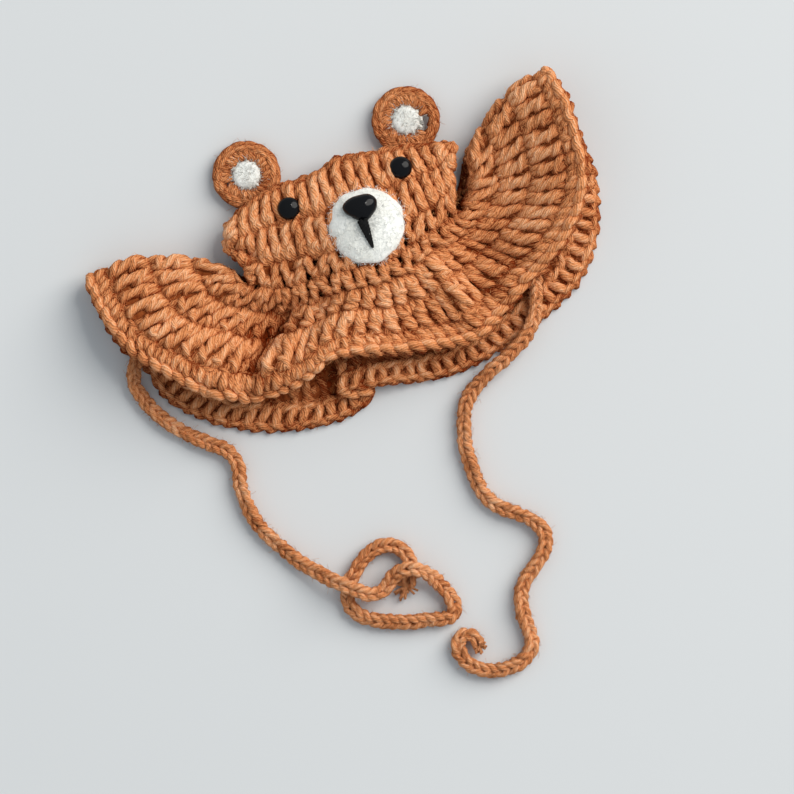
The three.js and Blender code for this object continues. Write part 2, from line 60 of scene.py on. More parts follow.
# %% Camera above the table
photo_side = 794  # pixels
pixel = 0.435 * mm  # what one pixel shows, from the 10 mm eyes
photo_turn = math.radians(20)
photo_middle = (-8.2 * mm, -69.7 * mm)
camera_height = 3.0
hat_middle_height = 15 * mm
sensor_width = 36  # millimetres, as Blender counts it

bpy.ops.object.camera_add(
    location=(*photo_middle, camera_height + hat_middle_height), rotation=(0, 0, -photo_turn)
)
camera = bpy.context.object
camera.data.sensor_width = sensor_width
camera.data.lens = sensor_width * camera_height / (photo_side * pixel)
bpy.context.scene.camera = camera
# The standard view keeps the caramel colour as strong as the finish gives it
bpy.context.scene.view_settings.view_transform = "Standard"
print("lens", round(camera.data.lens), "mm")

# %% [markdown]
# ## Small helpers for node materials
# A procedural finish is a chain of nodes. These helpers add one node and join its inputs, so
# that each material below reads as a short recipe.

# %% Material helpers
def new_material(name, roughness, **sockets):
    """A material with uniform values; an underscore in a socket's name stands for a space."""
    material = bpy.data.materials.new(name)
    material.use_nodes = True
    shader = material.node_tree.nodes["Principled BSDF"]
    shader.inputs["Roughness"].default_value = roughness
    for socket, value in sockets.items():
        shader.inputs[socket.replace("_", " ")].default_value = value
    return material, material.node_tree, shader


def fill_socket(tree, socket, value):
    if isinstance(value, bpy.types.NodeSocket):
        tree.links.new(value, socket)
    else:
        socket.default_value = value


def maths(tree, operation, *values):
    node = tree.nodes.new("ShaderNodeMath")
    node.operation = operation
    for socket, value in zip(node.inputs, values):
        fill_socket(tree, socket, value)
    return node.outputs[0]


def noise(tree, vector, scale, detail):
    node = tree.nodes.new("ShaderNodeTexNoise")
    tree.links.new(vector, node.inputs["Vector"])
    node.inputs["Scale"].default_value = scale
    node.inputs["Detail"].default_value = detail
    return node.outputs["Fac"]


def ramp(tree, factor, *stops):
    node = tree.nodes.new("ShaderNodeValToRGB")
    tree.links.new(factor, node.inputs["Fac"])
    elements = node.color_ramp.elements
    while len(elements) < len(stops):
        elements.new(0.5)
    for element, (place, colour) in zip(elements, stops):
        element.position = place
        element.color = (*colour, 1)
    return node.outputs["Color"]


def bump(tree, height, distance):
    node = tree.nodes.new("ShaderNodeBump")
    tree.links.new(height, node.inputs["Height"])
    node.inputs["Distance"].default_value = distance
    return node.outputs["Normal"]


def object_coordinates(tree):
    return tree.nodes.new("ShaderNodeTexCoord").outputs["Object"]


# %% [markdown]
# ## Yarn finish
# Plied yarn shows fine slanted lines, where its fibres wind round the strand. The sweep below
# gives each strand a UV map: once round is 1 in U, and V counts the same length along it. A
# sine of a slanted sum of U and V is therefore seamless, and it drives bump and colour. The
# colour is darker in the grooves and lighter on the ridges: painted shade and painted light.
# The attribute "tone" makes one stitch a little lighter or darker than the next. It also
# carries painted shade: it darkens the yarn deep inside the fabric and stitches in hollows.

# %% Yarn materials
fibre_lines = 9  # fine lines round one strand
fibre_slant = 8.0
fibre_wander = 1.6  # how far a stray fibre leaves its line, in lines
ply_lines = 3
ply_slant = 1.8
ply_wander = 0.3
stray_scale = 420.0
streak_width = 2.6
streak_length = 7.0
streak_change = 25.0  # streaks differ from stitch to stitch
frizz_scale = 1000.0
fibre_relief = 0.5
ply_relief = 0.22
frizz_relief = 0.55
patch_scale = 60.0  # lighter and darker patches of some millimetres
patch_depth = 0.3
relief_to_shade = 1.05
shade_start = 0.03


def yarn_material(name, deep, middle, light, shine=0.08, depth=0.9 * mm):
    material, tree, shader = new_material(name, 0.9, Specular_IOR_Level=shine)
    uv = tree.nodes.new("ShaderNodeUVMap")
    uv.uv_map = "yarn"
    split = tree.nodes.new("ShaderNodeSeparateXYZ")
    tree.links.new(uv.outputs["UV"], split.inputs[0])
    place = object_coordinates(tree)
    stray = noise(tree, place, stray_scale, 4.0)

    def winding(lines, slant, wander):
        turns = maths(tree, "MULTIPLY", split.outputs["X"], lines)
        along = maths(tree, "MULTIPLY_ADD", split.outputs["Y"], slant, turns)
        return maths(tree, "MULTIPLY_ADD", stray, wander, along)

    def ridges(phase):
        sine = maths(tree, "SINE", maths(tree, "MULTIPLY", phase, math.pi))
        return maths(tree, "MULTIPLY", sine, sine)

    fibre_phase = winding(fibre_lines, fibre_slant, fibre_wander)
    streak_place = tree.nodes.new("ShaderNodeCombineXYZ")
    across = maths(tree, "MULTIPLY", fibre_phase, streak_width)
    along = maths(tree, "MULTIPLY", split.outputs["Y"], streak_length)
    fill_socket(tree, streak_place.inputs["X"], across)
    fill_socket(tree, streak_place.inputs["Y"], along)
    fill_socket(tree, streak_place.inputs["Z"], noise(tree, place, streak_change, 0.0))
    streaks = noise(tree, streak_place.outputs[0], 1.0, 3.0)
    plies = ridges(winding(ply_lines, ply_slant, ply_wander))
    relief = maths(tree, "MULTIPLY", ridges(fibre_phase), streaks)
    frizz = maths(tree, "MULTIPLY", noise(tree, place, frizz_scale, 4.0), frizz_relief)
    frizz = maths(tree, "MULTIPLY_ADD", plies, ply_relief, frizz)
    relief = maths(tree, "MULTIPLY_ADD", relief, fibre_relief, frizz)
    tone = tree.nodes.new("ShaderNodeAttribute")
    tone.attribute_name = "tone"
    patches = noise(tree, place, patch_scale, 2.0)
    patches = maths(tree, "MULTIPLY_ADD", patches, patch_depth, -patch_depth / 2)
    # Painted shade and painted light: the colour follows the relief, darker in the grooves and
    # lighter on the ridges, over the yarn's own streaks and patches
    shade = maths(tree, "MULTIPLY_ADD", relief, relief_to_shade, shade_start)
    shade = maths(tree, "ADD", shade, patches)
    shade = maths(tree, "ADD", shade, tone.outputs["Fac"])
    colour = ramp(tree, shade, (0.0, deep), (0.5, middle), (1.0, light))
    tree.links.new(colour, shader.inputs["Base Color"])
    tree.links.new(bump(tree, relief, depth), shader.inputs["Normal"])
    return material


caramel_yarn = yarn_material(
    "caramel_yarn", (0.2, 0.027, 0.003), (0.72, 0.27, 0.1), (0.95, 0.54, 0.31)
)
cream_yarn = yarn_material(
    "cream_yarn", (0.86, 0.83, 0.74), (0.92, 0.9, 0.84), (0.96, 0.95, 0.91), depth=0.2 * mm
)
black_thread = yarn_material(
    "black_thread", (0.001, 0.001, 0.001), (0.003, 0.003, 0.003), (0.01, 0.01, 0.011), 0.3
)
loose_fibre, tree, shader = new_material("loose_fibre", 0.7, Specular_IOR_Level=0.3)
shader.inputs["Base Color"].default_value = (0.84, 0.37, 0.14, 1)
print("yarns:", caramel_yarn.name, cream_yarn.name, black_thread.name, loose_fibre.name)

# %% [markdown]
# ## Strands of yarn
# A strand is a few given points, made smooth and swept with a round section. Thousands
# of strands are swept at once with numpy arrays, and joined to one mesh for each piece,
# because separate curve objects for each loop would take minutes.

# %% Curves through points
strand_sides = 8
draw = np.random.default_rng(20)
nothing = 1e-5  # points nearer than this count as one point


def unit(vectors):
    return vectors / np.maximum(np.linalg.norm(vectors, axis=-1, keepdims=True), 1e-12)


def centripetal(points, places, closed):
    """A smooth line through points; places count the points and the shares between them."""
    points = np.asarray(points, float)
    start = np.floor(places).astype(int)
    if closed:
        near = [points[(start + k) % len(points)] for k in (-1, 0, 1, 2)]
    else:
        start = np.minimum(start, len(points) - 2)
        before = 2 * points[0] - points[1]
        after = 2 * points[-1] - points[-2]
        longer = np.concatenate([[before], points, [after]])
        near = [longer[start + k] for k in range(4)]
    p0, p1, p2, p3 = near
    t = (places - start)[:, None]
    d1 = np.sqrt(np.linalg.norm(p2 - p1, axis=1, keepdims=True))
    d0 = np.sqrt(np.linalg.norm(p1 - p0, axis=1, keepdims=True))
    d2 = np.sqrt(np.linalg.norm(p3 - p2, axis=1, keepdims=True))
    d1 = np.where(d1 < nothing, 1.0, d1)
    d0 = np.where(d0 < nothing, d1, d0)
    d2 = np.where(d2 < nothing, d1, d2)
    leave = ((p1 - p0) / d0 - (p2 - p0) / (d0 + d1) + (p2 - p1) / d1) * d1
    arrive = ((p2 - p1) / d1 - (p3 - p1) / (d1 + d2) + (p3 - p2) / d2) * d1
    square = -3 * p1 + 3 * p2 - 2 * leave - arrive
    cube = 2 * p1 - 2 * p2 + leave + arrive
    return p1 + leave * t + square * t**2 + cube * t**3


def smooth_strands(points, rings):
    """Strands of a few points each, made smooth: an array of strands by rings by 3."""
    first = 2 * points[:, :1] - points[:, 1:2]
    last = 2 * points[:, -1:] - points[:, -2:-1]
    longer = np.concatenate([first, points, last], axis=1)
    places = np.linspace(0, points.shape[1] - 1, rings)
    start = np.minimum(places.astype(int), points.shape[1] - 2)
    t = (places - start)[None, :, None]
    a, b, c, d = (longer[:, start + k] for k in range(4))
    bend = 2 * a - 5 * b + 4 * c - d
    return 0.5 * (2 * b + (c - a) * t + bend * t**2 + (3 * b - a - 3 * c + d) * t**3)


# %% Sweep strands to tubes
def sweep(paths, radius, sides=strand_sides, tone=None):
    """Tubes along many paths at once; radius is one number or one for each ring."""
    count, rings, _ = paths.shape
    radius = np.broadcast_to(radius, (count, rings))
    tangents = unit(np.gradient(paths, axis=1))
    least = np.eye(3)[np.argmin(np.abs(tangents[:, 0]), axis=1)]
    across = unit(np.cross(tangents[:, 0], least))
    normals = [across]
    for ring in range(1, rings):
        tangent = tangents[:, ring]
        across = across - tangent * np.sum(across * tangent, axis=1, keepdims=True)
        across = unit(across)
        normals.append(across)
    normals = np.stack(normals, axis=1)
    others = np.cross(tangents, normals)
    angles = np.arange(sides) * math.tau / sides
    outward = (
        np.cos(angles)[None, None, :, None] * normals[:, :, None]
        + np.sin(angles)[None, None, :, None] * others[:, :, None]
    )
    skin = paths[:, :, None] + outward * radius[:, :, None, None]
    skin[..., 2] = np.maximum(skin[..., 2], 0.0)
    steps = np.linalg.norm(np.diff(paths, axis=1), axis=2)
    length = np.concatenate([np.zeros((count, 1)), np.cumsum(steps, axis=1)], axis=1)
    tone = np.zeros(count) if tone is None else tone
    along = length / (math.tau * radius.mean())
    return {"skin": skin, "along": along, "tone": tone, "path": paths, "heading": tangents}


def yarn_object(name, bundles, finish):
    """Joins swept strands to one mesh with a UV map and a tone for each point."""
    points, corners, sizes, uvs, tones = [], [], [], [], []
    offset = 0
    for bundle in bundles:
        skin, along = bundle["skin"], bundle["along"]
        count, rings, sides, _ = skin.shape
        index = offset + np.arange(count * rings * sides).reshape(count, rings, sides)
        turned = np.roll(index, -1, axis=2)
        quads = np.stack([index[:, :-1], turned[:, :-1], turned[:, 1:], index[:, 1:]], axis=-1)
        around = np.broadcast_to(np.arange(sides) / sides, (count, rings - 1, sides))
        low = np.broadcast_to(along[:, :-1, None], around.shape)
        high = np.broadcast_to(along[:, 1:, None], around.shape)
        step = 1 / sides
        quad_uv = np.stack(
            [around, low, around + step, low, around + step, high, around, high], axis=-1
        )
        caps = np.concatenate([index[:, 0, ::-1], index[:, -1]])
        points.append(skin.reshape(-1, 3))
        corners += [quads.reshape(-1), caps.reshape(-1)]
        sizes += [np.full(quads.size // 4, 4), np.full(len(caps), sides)]
        uvs += [quad_uv.reshape(-1), np.zeros(caps.size * 2)]
        tone = bundle["tone"]
        tone = tone[:, None, None] if tone.ndim == 1 else tone
        tones.append(np.broadcast_to(tone, (count, rings, sides)).reshape(-1))
        offset += count * rings * sides
    points, corners, sizes = map(np.concatenate, (points, corners, sizes))
    mesh = bpy.data.meshes.new(name)
    mesh.vertices.add(len(points))
    mesh.vertices.foreach_set("co", points.astype(np.float32).reshape(-1))
    mesh.loops.add(len(corners))
    mesh.loops.foreach_set("vertex_index", corners.astype(np.int32))
    mesh.polygons.add(len(sizes))
    starts = np.concatenate([[0], np.cumsum(sizes)[:-1]]).astype(np.int32)
    mesh.polygons.foreach_set("loop_start", starts)
    mesh.polygons.foreach_set("loop_total", sizes.astype(np.int32))
    mesh.update(calc_edges=True)
    layer = mesh.uv_layers.new(name="yarn")
    layer.data.foreach_set("uv", np.concatenate(uvs).astype(np.float32))
    attribute = mesh.attributes.new("tone", "FLOAT", "POINT")
    attribute.data.foreach_set("value", np.concatenate(tones).astype(np.float32))
    mesh.shade_smooth()
    mesh.materials.append(finish)
    piece = bpy.data.objects.new(name, mesh)
    bpy.context.scene.collection.objects.link(piece)
    print(name, len(points), "points,", int(np.sum(sizes - 2)), "triangles")
    return piece


def wear(piece, slot, *nodes):
    """The piece stands for these frame nodes and rides with the hat."""
    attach(piece, "root")
    if nodes:
        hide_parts(*nodes)


# %% [markdown]
# ## Loose fibres
# Soft yarn and felt carry fine fibres that stand off their surface and blur its outline. Each
# is a short bent strand with three sides, which starts at a random point of a skin. Fibres
# are pieces of their own, so that rows and cords keep their measured form.

# %% Loose fibres
fibre_radius = 0.06 * mm
fibre_sides = 3
fibre_rings = 3
shortest_fibre = 0.9 * mm
longest_fibre = 2.6 * mm
fibre_stray = 0.45
fibre_curl = 0.25
fibre_arch = 2.2  # radians of a sine from its root to its tip
underside = -0.2  # faces that look down more steeply carry no fibres


def fibres_from(starts, headings, normals, lengths, rise):
    """Short thin curved fibres that leave a surface at a low angle."""
    count = len(starts)
    stray = draw.normal(0.0, fibre_stray, (count, 3))
    along = unit(headings * draw.choice([-1.0, 1.0], (count, 1)) + stray)
    curl = unit(draw.normal(0.0, 1.0, (count, 3)))
    shares = np.array([0.0, 0.35, 0.7, 1.0])
    arch = np.sin(shares * fibre_arch)
    lengths = lengths[:, None, None]
    lifted = rise * draw.uniform(0.2, 1.0, (count, 1, 1)) * normals[:, None]
    points = starts[:, None] + along[:, None] * lengths * shares[None, :, None]
    points = points + lifted * arch[None, :, None]
    points = points + curl[:, None] * lengths * fibre_curl * (shares**2)[None, :, None]
    points[..., 2] = np.maximum(points[..., 2], fibre_radius)
    return sweep(smooth_strands(points, fibre_rings), fibre_radius, fibre_sides)


def fuzz(bundles, count, rise=0.9 * mm):
    """Loose fibres on the skins of swept strands, but not on their undersides."""
    starts, headings, normals = [], [], []
    total = sum(len(bundle["skin"]) for bundle in bundles)
    for bundle in bundles:
        skin = bundle["skin"]
        strands, rings, sides, _ = skin.shape
        share = round(2 * count * strands / total)
        pick = draw.integers(0, (strands, rings, sides), (share, 3)).T
        point = skin[tuple(pick)]
        starts.append(point)
        headings.append(bundle["heading"][pick[0], pick[1]])
        normals.append(unit(point - bundle["path"][pick[0], pick[1]]))
    starts, headings, normals = map(np.concatenate, (starts, headings, normals))
    shown = np.flatnonzero(normals[:, 2] > underside)[:count]
    lengths = draw.uniform(shortest_fibre, longest_fibre, len(shown))
    return [fibres_from(starts[shown], headings[shown], normals[shown], lengths, rise)]


# %% [markdown]
# ## Kinds of stitch
# Each strand is a list of points: across in stitch widths from the stitch's middle, up in row
# heights from the row's foot, and out in millimetres from the middle of the fabric.
# In a double crochet two legs twist round each other once, a wrap lies over them, and two
# loops on top make the chain that the next row is worked into. The border's short stitch has
# two legs that lean the same way, and a rope of loops along the edge.

# %% Stitches, as strands of points
leg = 2.15 * mm
loop = 1.65 * mm
top_loops = [
    (loop, [(-0.62, 0.97, -1.8), (-0.36, 1.0, -0.2), (0.02, 1.05, 0.5),
            (0.4, 1.04, -0.1), (0.62, 0.99, -1.6)]),
    (loop, [(-0.62, 1.0, -0.4), (-0.34, 0.97, -1.4), (0.06, 1.0, -1.8),
            (0.4, 1.02, -1.2), (0.62, 1.0, -0.4)]),
]
double_crochet = top_loops + [
    (leg, [(-0.14, -0.02, -1.4), (-0.2, 0.12, 0.9), (-0.17, 0.34, 1.7),
           (-0.02, 0.56, 1.8), (0.14, 0.8, 1.2), (0.17, 0.98, -1.0)]),
    (leg, [(0.16, -0.02, -1.4), (0.2, 0.12, 1.0), (0.17, 0.34, 1.0),
           (0.0, 0.56, -0.4), (-0.15, 0.8, 0.6), (-0.18, 0.98, -1.0)]),
    (loop, [(-0.34, 0.54, -1.2), (-0.3, 0.64, 0.9), (-0.08, 0.76, 2.4),
            (0.2, 0.87, 2.0), (0.34, 0.96, -0.4)]),
    (loop, [(-0.34, 0.08, -1.0), (-0.28, 0.16, 1.2), (-0.02, 0.28, 2.4),
            (0.26, 0.4, 1.7), (0.34, 0.5, -0.8)]),
]
border_crochet = [
    (leg, [(-0.3, -0.02, -0.9), (-0.3, 0.12, 0.2), (-0.2, 0.28, 1.2), (0.0, 0.5, 1.4),
           (0.18, 0.66, 0.2)]),
    (loop, [(0.16, 0.0, -0.8), (0.2, 0.12, 0.3), (0.28, 0.28, 1.2), (0.46, 0.5, 1.3),
            (0.6, 0.64, 0.0)]),
    (leg, [(-0.1, -0.05, -0.4), (-0.02, 0.15, -1.1), (0.12, 0.45, -1.6), (0.2, 0.85, -0.4)]),
    (leg, [(-0.64, 0.7, -0.4), (-0.36, 0.78, 1.7), (0.02, 0.86, 2.3),
           (0.36, 0.94, 1.2), (0.62, 0.98, -0.9)]),
    (loop, [(-0.56, 0.98, 0.9), (-0.3, 0.9, -0.6), (0.04, 0.84, -1.4),
            (0.36, 0.78, -1.0), (0.6, 0.72, 0.4)]),
]
edge_chain = [
    (loop, [(-0.66, 0.0, -0.6), (-0.36, 0.02, 0.9), (0.04, 0.05, 1.4),
            (0.44, 0.04, 0.8), (0.68, 0.0, -0.7)]),
    (loop, [(-0.66, 0.0, 0.4), (-0.34, 0.04, -1.0), (0.06, 0.05, -1.4),
            (0.44, 0.02, -0.9), (0.68, 0.0, 0.4)]),
]
strand_rings = 11
hand_wobble = np.array([0.06, 0.03, 0.3])  # in stitch widths, row heights and millimetres
stitch_tone = 0.06
stitch_tilt = 0.09
face_height = 3.4 * mm  # from the middle of the fabric to the top of its stitches
inner_shade_tone = -0.42  # painted shade: yarn deep inside the fabric is darkened, its outer face keeps its colour
hollow_shade_tone = 0.05  # painted shade for each millimetre that a stitch lies lower than the stitches beside it
hollow_reach = 6  # stitches to each side


def hollow_depth(height):
    """How many millimetres each stitch of a closed row lies below its neighbours' mean."""
    around = np.pad(height, hollow_reach, mode="wrap")
    share = np.full(2 * hollow_reach + 1, 1 / (2 * hollow_reach + 1))
    return np.clip(np.convolve(around, share, "valid") - height, 0, None) / mm


def work_row(place, count, stitch, lean=0.0, skip=None, thickness=1.0):
    """Works count stitches along a row. place turns (share along, share up, out) to points."""
    stitches = np.arange(count)
    if skip is not None:
        stitches = stitches[~skip((stitches + 0.5) / count)]
    tone = draw.normal(0.0, stitch_tone, len(stitches))
    middle = place((stitches + 0.5) / count, np.full(len(stitches), 0.5), np.zeros(len(stitches)))
    # Painted shade: stitches that lie lower than their neighbours are darkened
    tone -= hollow_shade_tone * hollow_depth(middle[:, 2])
    tilt = draw.normal(0.0, stitch_tilt, len(stitches)) + lean * np.where(stitches % 2, 1, -1)
    bundles = []
    for radius, strand in stitch:
        points = np.array(strand)[None].repeat(len(stitches), axis=0)
        points += draw.normal(0.0, 1.0, points.shape) * hand_wobble
        across = points[..., 0] + tilt[:, None] * (points[..., 1] - 0.5)
        along = (stitches[:, None] + 0.5 + across) / count
        middle = place(along, points[..., 1], points[..., 2] * mm)
        strands = smooth_strands(middle, strand_rings)
        bundle = sweep(strands, radius * thickness, tone=tone)
        flat = place(along, points[..., 1], np.zeros(along.shape))
        out = unit(place(along, points[..., 1], np.full(along.shape, mm)) - flat)
        flat, out = (smooth_strands(line, strand_rings)[:, :, None] for line in (flat, out))
        height = np.abs(np.sum((bundle["skin"] - flat) * out, axis=-1))
        exposed = np.clip(height / face_height, 0, 1) ** 2
        # Painted shade: yarn near the middle of the fabric is darkened, and its outer face is not
        bundle["tone"] = tone[:, None, None] + inner_shade_tone * (1 - exposed)
        bundles.append(bundle)
    return bundles


# %% [markdown]
# ## The ties
# Each tie is a crocheted cord of V-shaped loops, 6.7 mm wide. Its route is the frame's own
# list of points, in metres here. It leaves from between the layers of the brim, drops on the
# table and lies there in loose curves. The left one crosses itself in two low humps. The
# frayed end and the fuzz are one more piece, because the cord's form is measured on its own.

# %% Routes of the ties
left_tie_route = [
    [-49, -5, 7.6], [-62, -9.5, 7.5], [-77, -13, 7.4], [-92, -14.8, 7.4], [-103, -14.8, 7.6],
    [-109.5, -16.2, 7.6], [-112.9, -20.8, 6.6], [-113.8, -28, 3.9], [-111, -37.4, 3.5],
    [-105.2, -47.4, 3.5], [-98.7, -54.8, 3.5], [-91, -61.8, 3.5], [-85.5, -67, 3.5],
    [-83.5, -74.2, 3.5], [-85.5, -82.3, 3.5], [-85.6, -91.5, 3.5], [-84.1, -101.3, 3.5],
    [-79.7, -110.8, 3.5], [-72.4, -122.7, 3.9], [-64, -132.5, 7.6], [-56.1, -140.2, 10.5],
    [-50.5, -145.2, 9.4], [-46, -147.2, 7.8], [-41.5, -146.3, 7], [-36.4, -142.8, 7.8],
    [-31.7, -141.4, 9.8], [-27.2, -142.4, 10.5], [-23, -145.8, 8.2], [-19.7, -150.7, 4.4],
    [-17.2, -156.7, 3.6], [-15.8, -162.4, 3.5], [-17, -166.8, 3.5], [-21, -167.7, 3.5],
    [-27.1, -166, 3.5], [-35.6, -163.9, 3.5], [-43.8, -160.9, 3.5], [-51.6, -157.1, 3.5],
    [-56.4, -152.7, 3.5], [-58.6, -147, 3.5], [-57, -141.5, 3.5], [-53.6, -137.2, 3.5],
    [-50.1, -134.2, 3.5], [-45.6, -131, 3.5], [-40.1, -128.9, 3.5], [-35, -128.9, 3.5],
    [-30.4, -131.3, 3.5], [-27.8, -135.6, 3.5], [-27.7, -140.8, 3.5], [-30, -145.6, 3.5],
    [-33, -149.1, 3.5],
]
right_tie_route = [
    [46, -8.5, 7.8], [51, -16, 7.3], [57.5, -25, 7.2], [63.5, -33, 7.2], [65.8, -39.5, 7.2],
    [64, -47.5, 7.2], [60.2, -56, 7.2], [53, -64, 7.2], [45, -68.3, 7.2], [36.5, -71.8, 6.9],
    [29.5, -75.2, 5], [23, -79, 3.7], [18.4, -84, 3.5], [14.8, -92.9, 3.5], [12.5, -101.8, 3.5],
    [12.3, -110.6, 3.5], [12.5, -118.4, 3.5], [14, -124.9, 3.5], [18.7, -130.8, 3.5],
    [26, -137.2, 3.5], [31, -143.4, 3.5], [31.8, -149.6, 3.5], [28.1, -155.6, 3.5],
    [21.6, -160.4, 3.5], [16, -164.6, 3.5], [12.5, -170.3, 3.5], [10.9, -179.3, 3.5],
    [10.9, -186.3, 3.5], [9.6, -192.3, 3.5], [4.4, -196.3, 3.5], [-3.7, -197.2, 3.5],
    [-12.6, -194.9, 3.5], [-19, -188.8, 3.5], [-20.6, -182.3, 3.5], [-17.2, -177.4, 3.5],
    [-12.4, -178.8, 3.5], [-11.4, -184.6, 3.5],
]
tie_pitch = 4.0 * mm
tie_yarn_radius = 1.4 * mm
tie_rings = 9
tie_sides = 7
tie_wobble = (0.1, 0.22, 0.2)  # in stitches, then in millimetres
tie_twists = 1.6  # it rolls to one side and back as often as this
tie_roll = 0.5  # radians
tie_tone = -0.04
tie_tone_change = 0.07
tie_fibres = 3200
fray_strands = 22
fray_radius = 0.55 * mm
fray_spread = np.array([1.3, 1.3, 0.8]) * mm
fray_splay = 2.2 * mm  # a strand that far from the middle turns 45 degrees outwards
# Along the tie in stitches, then to the side and up in millimetres
tie_stitch = [
    [(-0.4, -0.2, 0.3), (0.0, -1.0, 1.5), (0.5, -1.9, 1.3), (0.95, -1.9, 0.1), (1.3, -0.9, -0.8)],
    [(-0.2, 0.2, 0.3), (0.2, 1.0, 1.6), (0.7, 1.9, 1.2), (1.15, 1.8, 0.0), (1.5, 0.8, -0.8)],
    [(-0.3, -1.7, -0.7), (0.1, -0.8, -1.7), (0.5, 0.6, -1.8), (0.9, 1.7, -0.8)],
]


def line_along(points, spacing):
    """The smooth line through points, cut to even steps, and its length."""
    dense = centripetal(points, np.linspace(0, len(points) - 1, 40 * len(points)), False)
    steps = np.linalg.norm(np.diff(dense, axis=0), axis=1)
    length = np.concatenate([[0], np.cumsum(steps)])
    count = max(2, round(length[-1] / spacing))
    places = np.linspace(0, length[-1], count + 1)
    line = np.stack([np.interp(places, length, dense[:, k]) for k in range(3)], axis=1)
    return line, length[-1]


def make_tie(name, route, fray):
    """A crocheted cord along the route, whose far end frays over the length fray."""
    line, length = line_along(np.array(route) * mm, tie_pitch / 4)
    steps = np.arange(len(line))
    heading = unit(np.gradient(line, axis=0))
    to_side = unit(np.cross(heading, (0, 0, 1)))
    upward = np.cross(to_side, heading)
    stitches = round(length / tie_pitch) - 1
    roll = tie_roll * np.sin(steps / len(line) * tie_twists * math.tau)
    bundles = []
    tone = draw.normal(tie_tone, tie_tone_change, stitches)
    for strand in tie_stitch:
        points = np.array(strand)[None].repeat(stitches, axis=0)
        points += draw.normal(0.0, 1.0, points.shape) * tie_wobble
        place = (np.arange(stitches)[:, None] + 0.5 + points[..., 0]) / (stitches + 1)
        place = np.clip(place, 0, 1) * (len(line) - 1)

        def here(values):
            return np.stack([np.interp(place, steps, values[:, k]) for k in range(3)], axis=-1)

        turn = np.interp(place, steps, roll)
        side = points[..., 1] * np.cos(turn) - points[..., 2] * np.sin(turn)
        rise = points[..., 1] * np.sin(turn) + points[..., 2] * np.cos(turn)
        middle = here(line) + here(to_side) * side[..., None] * mm
        middle = middle + here(upward) * rise[..., None] * mm
        strands = smooth_strands(middle, tie_rings)
        bundles.append(sweep(strands, tie_yarn_radius, tie_sides, tone))
    frays = draw.normal(0.0, 1.0, (fray_strands, 3)) * fray_spread
    shares = np.linspace(-0.3, 1.0, 6)[None, :, None]
    reach = draw.uniform(0.3, 1.0, (fray_strands, 1)) * fray
    reach = unit(heading[-1] + frays / fray_splay) * reach
    tips = line[-1] + frays[:, None] * (1 + shares) / 2 + reach[:, None] * shares
    tips[:, :, 2] = np.maximum(tips[:, :, 2], fray_radius)
    ends = [sweep(smooth_strands(tips, 8), fray_radius, 5)] + fuzz(bundles, tie_fibres)
    loose = yarn_object(f"{name}_loose_ends", ends, caramel_yarn)
    wear(loose, "caramel_yarn")
    piece = yarn_object(f"{name}_cord", bundles, caramel_yarn)
    wear(piece, "caramel_yarn", name)
    print(name, "is", round(length / mm), "mm long, with", stitches, "stitches")


make_tie("tie_left", left_tie_route, 4.5 * mm)
make_tie("tie_right", right_tie_route, 1.5 * mm)

# %% [markdown]
# ## The shape of the hat
# The crown and the brim share one closed ring, which runs along the front of the hat from the
# left fold to the right fold and back behind it. The table below is the frame's own: each
# station gives the ring, the brim's edge, how the brim bows and how high the ear opening is.
# A few soft folds and creases are added to it, which the yarn shows and a plain solid doesn't.

# %% Named sizes of the fabric
wall = 3.4 * mm
ring_half_width = 55 * mm
ring_drop = 21.5 * mm
pocket_height = 25 * mm
top_half_width = 50 * mm
top_along = 32.5 * mm
top_lift = 12 * mm
side_round = 2
front_round = 3
back_round = 5
brim_half_span = 118 * mm
brim_drop = 70.5 * mm
ruffle_height = 24 * mm
layer_step = wall + 0.3 * mm
pleat_rise = 0.6
right_tuck = 2.8 * mm  # the crown's right end is pulled in between its ring and its top

